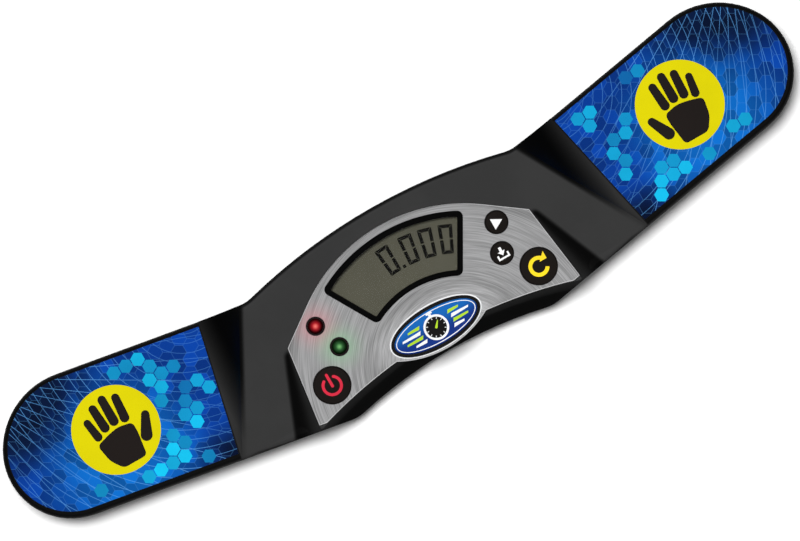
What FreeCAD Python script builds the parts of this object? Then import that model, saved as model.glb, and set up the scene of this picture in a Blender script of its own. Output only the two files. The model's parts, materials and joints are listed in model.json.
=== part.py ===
import FreeCAD, Part
import math
import os

# Puzzle-solving timer: a flat bow-shaped case that lies on a table.
# A touch pad on each arm is covered by a hand, and a raised console between
# them carries a display, two lamps and four push buttons.
# Millimetres. +X to the user's right, +Y away from the user, +Z up.
# The origin is the middle of the case's plan, on the table.

# Plan of the case, seen from above
arm_angle = 9.8               # each arm sweeps away from the user
arm_width = 48.4
arm_rear_line = 10.65         # rear edge of an arm, from the origin, across the arm
arm_reach = 148.2             # tip of an arm, from the origin, along the arm
tip_radius_gain = 3.9         # the tip's rear arc is this much larger than its front arc
tip_step = 1.3                # between the two arcs' centres, across the arm
rear_y = 26.15                # rear of the case behind the console
rear_arc_radius = 200.0
valley_radius = 12.0          # where the console's rear meets an arm
front_y = -27.35              # front of the case before the console
front_arc_radius = 160.0
chin_radius = 12.0            # corner between that front and an arm

# Heights
foot_height = 1.0
arm_top = 15.5                # top of the arms
split_z = 7.5                 # plane where the two housings meet
roof_tilt = 12.0              # shoulders and brow, rising to the rear
roof_front_y = -25.0          # the roof is level with the arms here
brow_y = -0.3                 # the console's seat leaves the roof here
console_tilt = 5.0            # the seat under the console plate

# Walls and general fits
wall = 2.0
deck = 1.8                    # top of the upper housing
floor = 2.0
rim_round = 1.5
base_round = 1.4
tongue_height = 1.1
tongue_gap = 0.12
seam = 0.3                    # height and depth of each half of the seam line
glue_gap = 0.15               # round a part that is glued into a pocket
clear_gap = 0.3               # round a part that moves or passes through a hole

# Ramp from each arm up to the console's shoulder
ramp_front_x = 78.2           # the ramp narrows to a point here, at roof_front_y
ramp_foot_lean = 0.219        # how far its foot moves inwards for each mm of depth
ramp_top_lean = 0.557         # the same for its upper crease
ramp_gauge_y = 34.0           # beyond the case; its hollow is measured here
ramp_hollow = 2.4

# Console plate and the raised seat under it
plate_thickness = 0.6
plate_rear_y = 19.9
plate_arc_radius = 56.7
plate_corner_x = 46.2         # outer corner, at brow_y
plate_toe_x = 49.9            # front corner
plate_toe_y = -27.8
plate_toe_cut = 2.6
plate_setback = 6.0           # front edge behind the case's front
plate_setback_z = 18.6        # height at which that setback is measured
lobe_y = -26.7                # front of the lobe under the badge
lobe_radius = 35.0
front_slope_z = 8.6           # foot of the sloping front wall
facet_foot_x = 60.4           # outer foot of the side facet, at facet_gauge_y
facet_gauge_y = -34.0
facet_hollow = 1.2

# Display
sector_inner = 32.7           # the bezel is a sector of a ring about the plate arc's centre
sector_outer = 54.3
sector_half_angle = 29.8
sector_corner = 2.0
bezel_border = 1.9
bezel_height = 0.5
bezel_barrel_inset = 0.9
window_thickness = 1.1
window_drop = 1.0             # window's top below the bezel's top
window_ledge = 0.4
window_fit = 0.05
lcd_x = 25.2
lcd_front_y = -7.4
lcd_rear_y = 16.4
lcd_thickness = 1.8
lcd_gap = 0.2
lcd_frame_wall = 0.9
lcd_ledge = 0.5
zebra_width = 2.2
zebra_inset = 1.0

# Board
board_drop = 4.8              # board's top below the console's seat
board_thickness = 1.2
board_x = 44.0
board_front_y = -21.2
board_rear_y = 18.3
board_chamfer_x = 15.0
board_chamfer_y = 16.0
board_screw_radius = 0.9
board_boss_radius = 2.1
board_screw_grip = 2.6
board_screw_places = [(27.5, -15.5), (31.6, 10.2)]

# Push buttons: name, x, y, radius of the cap
buttons = [("power", -39.6, -18.3, 6.15), ("reset", 39.6, -18.3, 6.15),
           ("recall", 34.7, 1.4, 3.75), ("save", 31.2, -8.45, 3.75)]
cap_rise = 1.1                # cap's edge above the plate
cap_dome = 0.3
cap_edge = 0.25
cap_flange = 0.6              # flange beyond the cap
cap_flange_thickness = 0.7
cap_flange_gap = 0.1
cap_stem_radius = 1.8
button_travel = 0.35
plunger_stop = 0.05           # left under a plunger when its button is pressed
switch_side = 5.2
switch_height = 1.4
plunger_radius = 1.5
plunger_rise = 0.4
plunger_fit = 0.06

# Lamps
lamps = [("red_lamp", -34.6, 1.5), ("green_lamp", -31.1, -8.35)]
lamp_radius = 2.5
lamp_rise = 1.0               # top of the lens above the plate
lamp_foot_radius = 2.9
lamp_foot_height = 1.0
collar_radius = 3.2
collar_height = 0.45
collar_barrel = 2.9
collar_fit = 0.1
collar_tail = 0.4

# Badge in front of the display
badge_y = -18.5
badge_half_x = 16.6
badge_half_y = 7.2
badge_height = 1.0
badge_rim = 1.1
badge_pocket = 0.6
badge_round = 0.4
badge_fit = 0.075
inlay_rise = 0.2

# Touch pads
pad_rim = 2.0                 # case wall left round a pad
pad_shift_y = 0.4             # pads sit a little nearer the rear
pad_foot_gap = 0.5            # pad edge from the ramp's foot
pad_thickness = 0.5
pad_recess = 0.4
sensor_inset = 7.0
sensor_thickness = 0.3
sensor_foot_gap = 5.0
lead_radius = 0.6
lead_bend = 4.0
sensor_lead_y = -8.0
sensor_lead_overlap = 5.0      # length of lead soldered along a sensor plate or the board

# Battery bay, cells and door
cell_radius = 5.25
cell_length = 44.5
cell_nub_radius = 1.9
cell_nub = 1.1
cell_gap = 0.15
cell_round = 0.3
cell_front_y = 3.8
cell_pitch = 10.7
bay_x = 25.5
bay_side_gap = 0.3
bay_wall = 1.0
bay_roof = 0.8
door_thickness = 1.6
door_gap = 0.1                # door's top from its seat
door_x = 34.5
door_front_y = -3.0
door_rear_y = 20.7
door_corner = 2.0
door_frame = 1.4
door_seat = 1.4
door_screw_x = 30.6
door_screw_y = 9.9
door_screw_radius = 1.2
door_screw_head = 2.3
door_screw_head_height = 0.8
door_screw_sink = 0.2
door_screw_length = 7.0
door_boss_radius = 2.7
thread_fit = 0.06
grip_count = 5
grip_pitch = 2.2
grip_width = 1.0
grip_depth = 0.5
contact_thickness = 0.4
contact_width = 7.0
contact_tip_gap = 0.6         # end plate to a cell's nub
leaf_margin = 1.2             # leaf's ends from the cell's edge
lug_width = 2.0

# Case screws, feet and mat pegs
screw_radius = 1.2
screw_head_radius = 2.4
screw_head_height = 1.6
screw_sink = 0.8
screw_length = 8.6
screw_boss_radius = 3.0
cross_width = 0.7
cross_depth = 0.5
tip_screw_setback = 20.2      # from the tip, along the arm
tip_screw_inset = 23.15       # from the rear edge, across the arm
inner_screw_places = [(61.5, -14.0), (44.5, 13.5)]
foot_radius = 4.0
foot_sink = 0.8
foot_round = 0.3
tip_foot_setback = 21.2
tip_foot_rear_inset = 11.15   # from the arm's rear edge
tip_foot_front_inset = 8.75   # from its front edge
front_foot_x = 33.0
front_foot_y = -22.5
peg_radius = 2.5
peg_depth = 5.0
peg_x = 19.0
peg_y = -17.5
peg_wall = 1.6
rib_setbacks = [36.2, 50.2, 64.2]
rib_thickness = 1.2
rib_height = 3.2

# Data socket at the rear
jack_x = -36.6
jack_z = 11.3
jack_bore = 1.8
jack_nose_radius = 2.6
jack_width = 6.4
jack_height = 6.0
jack_length = 10.5
jack_hole_depth = 9.5
jack_lead_x = 1.3
jack_lead_radius = 0.5
jack_lead_bend = 2.0
jack_lead_y = 0.5
cradle_wall = 1.0

# Parts under the board: x, y, half sizes and height
chip = (2.0, -11.5, 5.0, 5.0, 1.2)
crystal = (-12.0, -12.5, 5.4, 2.2, 2.6)
coupler = (15.5, -12.0, 2.1, 2.1, 2.0)
capacitor = (-22.0, -13.0, 2.6, 3.6)
resistor_row = (11.0, -18.5)
resistor_count = 4
resistor_pitch = 2.0
resistor = (0.6, 0.35, 0.5)


def vec(x, y, z=0.0):
    return FreeCAD.Vector(x, y, z)


def tangent(angle):
    return math.tan(math.radians(angle))


def roof_z(y):
    return arm_top + (y - roof_front_y) * tangent(roof_tilt)


brow_z = roof_z(brow_y)
front_centre = vec(0, front_y - front_arc_radius)
rear_centre = vec(0, rear_y - rear_arc_radius)
plate_centre = vec(0, plate_rear_y - plate_arc_radius)
board_top = -board_drop
board_base = board_top - board_thickness
split_high = split_z + tongue_height
floor_top = foot_height + floor
floor_middle = foot_height + floor / 2
close_match = 1e-3            # edges this near to a height or a plane lie in it
tip_front_radius = (arm_width + tip_step - tip_radius_gain) / 2
tip_rear_radius = tip_front_radius + tip_radius_gain
arm_front_line = arm_rear_line - arm_width


def console_z(y):
    return brow_z + (y - brow_y) * tangent(console_tilt)


def seat(shape):
    """Set a piece drawn over the plan, with z = 0 at the console's seat, on the tilted console."""
    piece = shape.copy()
    piece.translate(vec(0, -brow_y, 0))
    piece.rotate(vec(0, 0, 0), vec(1, 0, 0), console_tilt)
    piece.translate(vec(0, brow_y, brow_z))
    return piece


def arc(centre, start, end):
    """Shorter arc round a centre."""
    radius = (start - centre).Length
    middle = centre + ((start - centre).normalize() + (end - centre).normalize()).normalize() * radius
    return Part.Arc(start, middle, end).toShape()


def line(start, end):
    return Part.LineSegment(start, end).toShape()


def mirror_x(point):
    return vec(-point.x, point.y, point.z)


def mirrored(shape):
    return shape.mirror(vec(0, 0, 0), vec(1, 0, 0))


def prism(wire, low, high):
    """Upright solid on a closed plan wire drawn at z = 0."""
    face = Part.Face(wire)
    face.translate(vec(0, 0, low))
    return face.extrude(vec(0, 0, high - low))


def polygon(points):
    return Part.makePolygon(points + points[:1])


def block(x0, x1, y0, y1, z0, z1):
    return Part.makeBox(x1 - x0, y1 - y0, z1 - z0, vec(x0, y0, z0))


def drum(radius, x, y, low, high):
    return Part.makeCylinder(radius, high - low, vec(x, y, low))


def rounded_block(x0, x1, y0, y1, z0, z1, radius):
    solid = block(x0, x1, y0, y1, z0, z1)
    upright = [e for e in solid.Edges if abs(e.tangentAt(e.FirstParameter).z) > 0.9]
    return solid.makeFillet(radius, upright)


def oval(half_x, half_y, y, low, high):
    ellipse = Part.Ellipse(vec(0, y), half_x, half_y).toShape()
    return prism(Part.Wire(ellipse), low, high)


def fused(shapes):
    return shapes[0].multiFuse(shapes[1:]).removeSplitter()


def round_level_edges(solid, z, radius):
    """Round the edges that lie flat at one height."""
    flat = [e for e in solid.Edges if abs(e.BoundBox.ZMax - z) + abs(e.BoundBox.ZMin - z) < close_match]
    return solid.makeFillet(radius, flat)


# Plan outline of the case
arm_along = vec(math.cos(math.radians(arm_angle)), math.sin(math.radians(arm_angle)))
arm_across = vec(-arm_along.y, arm_along.x)


def arm_point(along, across, side=1):
    point = arm_along * along + arm_across * across
    return vec(side * point.x, point.y)


def round_centre(across, corner, distance):
    """Point on a line along the arm at a distance from a circle's centre."""
    shift = arm_along.dot(corner)
    rest = across ** 2 - 2 * across * arm_across.dot(corner) + corner.Length ** 2 - distance ** 2
    return arm_point(shift + math.sqrt(shift ** 2 - rest), across)


def case_outline(inset=0.0):
    """Plan outline, drawn this far inside the case's walls."""
    rear_r = rear_arc_radius - inset
    front_r = front_arc_radius + inset
    valley_r = valley_radius + inset
    chin_r = chin_radius - inset
    rear_across = arm_rear_line - inset
    front_across = arm_front_line + inset
    # The tip is two arcs of unlike radius that touch inside one another.
    step_along = math.sqrt(tip_radius_gain ** 2 - tip_step ** 2)
    front_tip = arm_point(arm_reach - tip_front_radius, arm_front_line + tip_front_radius)
    rear_tip = arm_point(arm_reach - tip_front_radius - step_along, arm_rear_line - tip_rear_radius)
    tip_joint = rear_tip + (front_tip - rear_tip).normalize() * (tip_rear_radius - inset)
    valley = round_centre(rear_across + valley_r, rear_centre, rear_r + valley_r)
    chin = round_centre(front_across + chin_r, front_centre, front_r + chin_r)

    chin_start = front_centre + (chin - front_centre).normalize() * front_r
    chin_end = chin - arm_across * chin_r
    tip_start = front_tip - arm_across * (tip_front_radius - inset)
    tip_end = rear_tip + arm_across * (tip_rear_radius - inset)
    valley_start = valley - arm_across * valley_r
    valley_end = rear_centre + (valley - rear_centre).normalize() * rear_r
    rounds = [(chin, chin_start, chin_end), (front_tip, tip_start, tip_joint),
              (rear_tip, tip_joint, tip_end), (valley, valley_start, valley_end)]
    edges = []
    for flip in (lambda point: point, mirror_x):
        edges += [arc(flip(c), flip(a), flip(b)) for c, a, b in rounds]
        edges += [line(flip(chin_end), flip(tip_start)), line(flip(tip_end), flip(valley_start))]
    edges.append(arc(front_centre, mirror_x(chin_start), chin_start))
    edges.append(arc(rear_centre, mirror_x(valley_end), valley_end))
    return Part.Wire(Part.__sortEdges__(edges))


def plate_outline(grow=0.0):
    """Console plate: an arc behind, shoulders, toes, and a lobe in the middle of its front."""
    corner = vec(plate_corner_x, brow_y)
    reach = corner - plate_centre
    turn = math.acos(plate_arc_radius / reach.Length) + math.atan2(reach.y, reach.x)
    touch = plate_centre + vec(math.cos(turn), math.sin(turn)) * plate_arc_radius
    front_r = front_arc_radius + plate_setback
    toe = vec(plate_toe_x, plate_toe_y)
    inner_x = plate_toe_x - plate_toe_cut
    inner = vec(inner_x, front_centre.y + math.sqrt(front_r ** 2 - inner_x ** 2))
    # The lobe's arc and the front arc cross where both circles meet.
    lobe_centre = vec(0, lobe_y + lobe_radius)
    span = lobe_centre.y - front_centre.y
    cross_y = (front_r ** 2 - lobe_radius ** 2 + span ** 2) / (2 * span)
    cross = vec(math.sqrt(front_r ** 2 - cross_y ** 2), front_centre.y + cross_y)
    edges = [arc(plate_centre, mirror_x(touch), touch), arc(lobe_centre, mirror_x(cross), cross)]
    for flip in (lambda point: point, mirror_x):
        edges += [line(flip(touch), flip(corner)), line(flip(corner), flip(toe)),
                  line(flip(toe), flip(inner)), arc(front_centre, flip(inner), flip(cross))]
    wire = Part.Wire(Part.__sortEdges__(edges))
    return wire.makeOffset2D(grow) if grow else wire


# The outside of the upper housing, and the hollow in it
def cone_to(tip, profile):
    """Solid from a point to a closed profile of edges."""
    return Part.makeLoft([Part.Vertex(tip), Part.Wire(profile)], True, True)


def hollow_side(tip, foot, top, hollow, depth):
    """Concave slope that starts at a point and widens to run from foot to top."""
    middle = (foot + top) * 0.5
    dip = vec(-(top - foot).z, 0, (top - foot).x).normalize() * hollow
    if dip.z > 0:
        dip = dip * -1
    low_foot = vec(foot.x, foot.y, foot.z - depth)
    low_top = vec(top.x, top.y, foot.z - depth)
    return cone_to(tip, [Part.Arc(foot, middle + dip, top).toShape(), line(top, low_top),
                         line(low_top, low_foot), line(low_foot, foot)])


def wedge(plan, near, far, drop, low):
    """Solid over a plan polygon under the plane through two points of (y, z)."""
    reach = 2 * ramp_front_x
    side = [vec(-reach, near[0], low), vec(-reach, near[0], near[1] - drop),
            vec(-reach, far[0], far[1] - drop), vec(-reach, far[0], low)]
    return Part.Face(polygon(side)).extrude(vec(2 * reach, 0, 0)).common(prism(polygon(plan), 0, 2 * brow_z))


def tilted_block(inset, near, far, drop, low, rim):
    """Case plan filled up to the tilted plane through two points of (y, z), with a rounded rim."""
    reach = 2 * arm_reach
    side = [vec(-reach, near[0], low), vec(-reach, near[0], near[1] - drop),
            vec(-reach, far[0], far[1] - drop), vec(-reach, far[0], low)]
    block_under = Part.Face(polygon(side)).extrude(vec(2 * reach, 0, 0))
    solid = block_under.common(prism(case_outline(inset), low, 2 * brow_z))
    if not rim:
        return solid
    slope = (far[1] - near[1]) / (far[0] - near[0])
    top = [e for e in solid.Edges
           if all(abs(v.Z - near[1] + drop - (v.Y - near[0]) * slope) < close_match for v in e.Vertexes)]
    return solid.makeFillet(rim, top)


def crown(inset, drop, rim):
    """Upper case as one solid, inset from its walls and lowered from its roof."""
    depth = ramp_gauge_y - roof_front_y
    foot_x = ramp_front_x - ramp_foot_lean * depth
    crease_x = ramp_front_x - ramp_top_lean * depth
    shelf = arm_top - drop
    ramp_tip = vec(ramp_front_x, roof_front_y, shelf)
    ramp = hollow_side(ramp_tip, vec(foot_x, ramp_gauge_y, shelf),
                       vec(crease_x, ramp_gauge_y, roof_z(ramp_gauge_y) - drop), ramp_hollow, wall)
    roof_plan = [vec(-ramp_front_x, roof_front_y), vec(-crease_x, ramp_gauge_y),
                 vec(crease_x, ramp_gauge_y), vec(ramp_front_x, roof_front_y)]
    roof_near = (-ramp_gauge_y, roof_z(-ramp_gauge_y))
    roof_far = (ramp_gauge_y, roof_z(ramp_gauge_y))
    roof = wedge(roof_plan, (roof_front_y, arm_top), roof_far, drop, shelf - wall)
    roof = fused([roof, ramp, mirrored(ramp)])
    roof = roof.common(tilted_block(inset, roof_near, roof_far, drop, split_z, rim))

    toe_lean = (plate_toe_x - plate_corner_x) / (brow_y - plate_toe_y)
    edge_x = plate_corner_x + toe_lean * (brow_y - facet_gauge_y)
    seat_plan = [vec(-plate_corner_x, brow_y), vec(plate_corner_x, brow_y),
                 vec(edge_x, facet_gauge_y), vec(-edge_x, facet_gauge_y)]
    seat_near = (facet_gauge_y, console_z(facet_gauge_y))
    seat_low = roof_z(facet_gauge_y) - drop - wall
    rise = wedge(seat_plan, seat_near, (brow_y, brow_z), drop, seat_low)
    facet = hollow_side(vec(plate_corner_x, brow_y, brow_z - drop),
                        vec(facet_foot_x, facet_gauge_y, roof_z(facet_gauge_y) - drop),
                        vec(edge_x, facet_gauge_y, console_z(facet_gauge_y) - drop),
                        facet_hollow, wall)
    rise = fused([rise, facet, mirrored(facet)])
    seat_far = (-facet_gauge_y, console_z(-facet_gauge_y))
    rise = rise.common(tilted_block(inset, seat_near, seat_far, drop, split_z, rim))

    arms = prism(case_outline(inset), split_z, shelf)
    if rim:
        arms = round_level_edges(arms, shelf, rim)
    solid = fused([arms, roof, rise])

    slope = plate_setback / (plate_setback_z - front_slope_z)
    height = 2 * brow_z - front_slope_z
    near = front_arc_radius + inset
    cutter = Part.makeCone(near, near + slope * height, height,
                           vec(0, front_centre.y, front_slope_z))
    lobe = drum(lobe_radius - inset, 0, lobe_y + lobe_radius, 0, 2 * brow_z)
    solid = solid.cut(cutter.cut(lobe))
    pocket = prism(plate_outline(glue_gap + inset), -drop, brow_z)
    return solid.cut(seat(pocket))


# Places that several pieces share
tip_screw = arm_point(arm_reach - tip_screw_setback, arm_rear_line - tip_screw_inset)
screw_places = [vec(side * x, y) for x, y in [(tip_screw.x, tip_screw.y)] + inner_screw_places
                for side in (-1, 1)]
tip_feet = [arm_point(arm_reach - tip_foot_setback, across, side) for side in (-1, 1)
            for across in (arm_rear_line - tip_foot_rear_inset, arm_front_line + tip_foot_front_inset)]
foot_places = tip_feet + [vec(side * front_foot_x, front_foot_y) for side in (-1, 1)]
board_screws = [(side * x, y) for x, y in board_screw_places for side in (-1, 1)]
screw_seat_z = foot_height + screw_sink + screw_head_height
door_top = foot_height + door_thickness
door_seat_z = door_top + door_gap
door_head_z = foot_height + door_screw_sink + door_screw_head_height
door_boss_top = door_head_z + door_screw_length + thread_fit
cell_z = door_top + cell_gap + cell_radius
bay_ceiling = cell_z + cell_radius + cell_gap
bay_front = cell_front_y - cell_radius - bay_side_gap
bay_rear = cell_front_y + cell_pitch + cell_radius + bay_side_gap
bezel_top = plate_thickness + bezel_height
jack_mouth_y = rear_centre.y + math.sqrt(rear_arc_radius ** 2 - jack_x ** 2) - glue_gap
jack_corner_x = abs(jack_x) + jack_width / 2
jack_rear_y = rear_centre.y + math.sqrt(rear_arc_radius ** 2 - jack_corner_x ** 2) - wall - glue_gap
jack_front_y = jack_rear_y - jack_length


def ring(outer, inner, low, high):
    """Band between two insets of the case's outline."""
    return prism(case_outline(outer), low, high).cut(prism(case_outline(inner), low, high))


def board_under_z(y):
    """Height of the board's underside."""
    return console_z(y) + board_base / math.cos(math.radians(console_tilt))


def sector(inset, low, high):
    """Display shape: a ring's sector, drawn this far inside the bezel's edge."""
    inner = sector_inner + inset
    outer = sector_outer - inset

    def corner(radius):
        angle = math.radians(sector_half_angle) - math.asin(inset / radius)
        return plate_centre + vec(math.sin(angle), math.cos(angle)) * radius

    near, far = corner(inner), corner(outer)
    wire = Part.Wire([arc(plate_centre, mirror_x(far), far), line(far, near),
                      arc(plate_centre, near, mirror_x(near)), line(mirror_x(near), mirror_x(far))])
    solid = prism(wire, low, high)
    upright = [e for e in solid.Edges if e.BoundBox.ZMax - e.BoundBox.ZMin > (high - low) / 2]
    return solid.makeFillet(max(sector_corner - inset, bezel_height), upright)


def pad_block(grow, foot_gap, low, high):
    """Plan of the right touch pad, from the foot of the ramp to the tip of the arm."""
    reach = 2 * arm_width
    plan = prism(case_outline(pad_rim - grow), low, high)
    plan.translate(vec(0, pad_shift_y, 0))
    near = ramp_front_x + ramp_foot_lean * (reach + roof_front_y) + foot_gap - grow
    far = ramp_front_x - ramp_foot_lean * (reach - roof_front_y) + foot_gap - grow
    side = [vec(near, -reach), vec(arm_reach + reach, -reach), vec(arm_reach + reach, reach),
            vec(far, reach)]
    return plan.common(prism(polygon(side), low, high))


def cross_cut(x, y, low):
    """Cross recess in the underside of a screw's head."""
    arm = screw_head_radius - cross_width
    high = low + cross_depth
    half = cross_width / 2
    return block(x - arm, x + arm, y - half, y + half, low, high).fuse(
        block(x - half, x + half, y - arm, y + arm, low, high))


def screw(x, y, head_radius, head_height, shank_radius, length, head_low):
    solid = drum(head_radius, x, y, head_low, head_low + head_height).fuse(
        drum(shank_radius, x, y, head_low, head_low + head_height + length))
    return solid.cut(cross_cut(x, y, head_low))


def tube(points, radius, bend):
    """Round lead along straight runs joined by tangent arcs."""
    edges = []
    start = points[0]
    for before, corner, after in zip(points, points[1:], points[2:]):
        back = (before - corner).normalize()
        on = (after - corner).normalize()
        half_turn = back.getAngle(on) / 2
        reach = bend / math.tan(half_turn)
        centre = corner + (back + on).normalize() * (bend / math.sin(half_turn))
        entry, leave = corner + back * reach, corner + on * reach
        edges += [line(start, entry), arc(centre, entry, leave)]
        start = leave
    edges.append(line(start, points[-1]))
    path = Part.Wire(edges)
    section = Part.Wire(Part.makeCircle(radius, points[0], points[1] - points[0]))
    return path.makePipeShell([section], True, False)


# Housings
def upper_housing():
    outer = crown(0, 0, rim_round)
    shell = outer.cut(crown(wall, deck, 0))
    bosses = [drum(screw_boss_radius, p.x, p.y, split_z, 2 * brow_z).common(outer) for p in screw_places]
    bosses += [seat(drum(board_boss_radius, x, y, board_top, -deck / 2)) for x, y in board_screws]
    shell = fused([shell] + bosses)
    shell = shell.cut(ring(-seam, seam, split_z, split_z + seam))
    shell = shell.cut(ring(wall / 2 - tongue_gap, wall, split_z, split_high + tongue_gap))
    cuts = [drum(screw_radius, p.x, p.y, split_z, screw_seat_z + screw_length + clear_gap)
            for p in screw_places]
    cuts += [seat(drum(board_screw_radius, x, y, board_top, board_top + board_screw_grip))
             for x, y in board_screws]
    cuts += [seat(drum(radius + clear_gap, x, y, -deck - wall, plate_thickness))
             for name, x, y, radius in buttons]
    cuts += [seat(drum(collar_barrel + collar_fit, x, y, -deck - wall, plate_thickness))
             for name, x, y in lamps]
    cuts.append(seat(sector(bezel_barrel_inset - collar_fit, -deck - wall, plate_thickness)))
    recess = pad_block(glue_gap, pad_foot_gap, arm_top - pad_recess, arm_top + wall)
    cuts += [recess, mirrored(recess)]
    cuts.append(Part.makeCylinder(jack_nose_radius + collar_fit, 2 * wall,
                                  vec(jack_x, jack_rear_y, jack_z), vec(0, 1, 0)))
    return shell.cut(cuts)


def lower_housing():
    tray = round_level_edges(prism(case_outline(), foot_height, split_z), foot_height, base_round)
    inside = prism(case_outline(wall / 2), foot_height, bay_ceiling + bay_roof)
    tray = tray.cut(prism(case_outline(wall), floor_top, split_z))
    tongue = ring(wall / 2, wall, split_z, split_high)
    frame_x = door_x + clear_gap + door_frame
    frame = block(-frame_x, frame_x, door_front_y - clear_gap - door_frame,
                  door_rear_y + clear_gap + door_frame, floor_middle, door_seat_z + door_seat)
    bay = block(-bay_x - bay_wall, bay_x + bay_wall, bay_front - bay_wall, bay_rear + bay_wall,
                floor_middle, bay_ceiling + bay_roof)
    adds = [tongue, frame.common(inside), bay]
    adds += [drum(screw_boss_radius, p.x, p.y, floor_middle, split_z) for p in screw_places]
    adds += [drum(door_boss_radius, side * door_screw_x, door_screw_y, door_seat_z, door_boss_top)
             for side in (-1, 1)]
    adds += [drum(peg_radius + peg_wall, side * peg_x, peg_y, floor_middle,
                  foot_height + peg_depth + peg_wall / 2)
             for side in (-1, 1)]
    cradle = block(jack_x - jack_width / 2, jack_x + jack_width / 2, jack_front_y + cradle_wall,
                   jack_rear_y, floor_middle, jack_z - jack_height / 2)
    adds.append(cradle.common(prism(case_outline(wall), floor_middle, jack_z)))
    for setback in rib_setbacks:
        rib = block(-rib_thickness / 2, rib_thickness / 2, -arm_width, arm_width, floor_middle,
                    floor_top + rib_height)
        rib.rotate(vec(0, 0, 0), vec(0, 0, 1), arm_angle)
        rib.translate(arm_point(arm_reach - setback, arm_rear_line - arm_width / 2))
        rib = rib.common(inside)
        adds += [rib, mirrored(rib)]
    tray = fused([tray] + adds)

    cuts = [ring(-seam, seam, split_z - seam, split_z)]
    for p in screw_places:
        cuts.append(drum(screw_head_radius + glue_gap, p.x, p.y, 0, screw_seat_z))
        cuts.append(drum(screw_radius + glue_gap, p.x, p.y, 0, split_z))
    cuts += [drum(foot_radius + glue_gap, p.x, p.y, 0, foot_height + foot_sink) for p in foot_places]
    cuts += [drum(peg_radius, side * peg_x, peg_y, 0, foot_height + peg_depth) for side in (-1, 1)]
    cuts.append(rounded_block(-door_x - clear_gap, door_x + clear_gap, door_front_y - clear_gap,
                              door_rear_y + clear_gap, 0, door_seat_z, door_corner + clear_gap))
    cuts.append(block(-bay_x, bay_x, bay_front, bay_rear, 0, bay_ceiling))
    cuts += [drum(door_screw_radius + thread_fit, side * door_screw_x, door_screw_y, 0, door_boss_top)
             for side in (-1, 1)]
    for y in (cell_front_y, cell_front_y + cell_pitch):
        half = lug_width / 2 + glue_gap
        cuts.append(block(-bay_x - glue_gap, -bay_x + contact_thickness + glue_gap, y - half, y + half,
                          bay_ceiling - wall, bay_ceiling + 2 * bay_roof))
    return tray.cut(cuts)


# Console
def console_plate():
    plate = prism(plate_outline(), 0, plate_thickness)
    cuts = [drum(radius + clear_gap, x, y, 0, plate_thickness) for name, x, y, radius in buttons]
    cuts += [drum(collar_barrel + collar_fit, x, y, 0, plate_thickness) for name, x, y in lamps]
    cuts.append(sector(bezel_barrel_inset - collar_fit, 0, plate_thickness))
    return seat(plate.cut(cuts))


def display_bezel():
    flange = round_level_edges(sector(0, plate_thickness, bezel_top), bezel_top, cap_edge)
    barrel = sector(bezel_barrel_inset, -deck, plate_thickness)
    ledge_z = bezel_top - window_drop
    opening = sector(bezel_border, -deck, bezel_top)
    pocket = sector(bezel_border - window_ledge, -deck, ledge_z)
    return seat(flange.fuse(barrel).removeSplitter().cut([opening, pocket]))


def display_window():
    top = bezel_top - window_drop
    return seat(sector(bezel_border - window_ledge + window_fit, top - window_thickness, top))


def lcd_block(grow, low, high):
    return block(-lcd_x - grow, lcd_x + grow, lcd_front_y - grow, lcd_rear_y + grow, low, high)


def lcd_panel():
    top = -deck - lcd_gap
    return seat(lcd_block(0, top - lcd_thickness, top))


def lcd_frame():
    top = -deck - lcd_gap
    holder = lcd_block(lcd_gap + lcd_frame_wall, board_top, top)
    cuts = [lcd_block(lcd_gap, top - lcd_thickness, top), lcd_block(-lcd_ledge, board_top, top)]
    cuts.append(block(-lcd_x, lcd_x, lcd_front_y - lcd_gap, lcd_front_y + zebra_width + zebra_inset,
                      board_top, top))
    return seat(holder.cut(cuts))


def zebra_strip():
    near = lcd_front_y + zebra_inset
    return seat(block(-lcd_x + zebra_inset, lcd_x - zebra_inset, near, near + zebra_width,
                      board_top, -deck - lcd_gap - lcd_thickness))


def main_board():
    rear_x = board_x - board_chamfer_x
    side_y = board_rear_y - board_chamfer_y
    plan = [vec(-board_x, board_front_y), vec(board_x, board_front_y), vec(board_x, side_y),
            vec(rear_x, board_rear_y), vec(-rear_x, board_rear_y), vec(-board_x, side_y)]
    board = prism(polygon(plan), board_base, board_top)
    holes = [drum(board_screw_radius + collar_fit, x, y, board_base, board_top) for x, y in board_screws]
    return seat(board.cut(holes))


def under_board(x, y, half_x, half_y, height):
    return seat(block(x - half_x, x + half_x, y - half_y, y + half_y, board_base - height, board_base))


def capacitor_can():
    x, y, radius, height = capacitor
    can = drum(radius, x, y, board_base - height, board_base)
    return seat(round_level_edges(can, board_base - height, cap_edge))


def resistors():
    x, y = resistor_row
    half_x, half_y, height = resistor
    return Part.makeCompound([under_board(x + i * resistor_pitch, y, half_x, half_y, height)
                              for i in range(resistor_count)])


def tact_switches():
    bodies = []
    half = switch_side / 2
    for name, x, y, radius in buttons:
        body = rounded_block(x - half, x + half, y - half, y + half, board_top,
                             board_top + switch_height, cap_edge)
        bodies.append(seat(body.cut(drum(plunger_radius + plunger_fit, x, y, board_top,
                                         board_top + switch_height))))
    return Part.makeCompound(bodies)


def button_cap(x, y, radius):
    """Domed cap, the flange that keeps it in, and the stem that presses its switch."""
    edge_z = plate_thickness + cap_rise
    flange_top = -deck - cap_flange_gap
    stem_low = board_top + switch_height + plunger_rise
    ball = (radius ** 2 + cap_dome ** 2) / (2 * cap_dome)
    dome = Part.makeSphere(ball, vec(x, y, edge_z + cap_dome - ball))
    cap = drum(radius, x, y, flange_top, edge_z + cap_dome).common(dome)
    cap = round_level_edges(cap, edge_z, cap_edge)
    flange = drum(radius + cap_flange, x, y, flange_top - cap_flange_thickness, flange_top)
    stem = drum(cap_stem_radius, x, y, stem_low, flange_top)
    return seat(fused([cap, flange, stem]))


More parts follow.
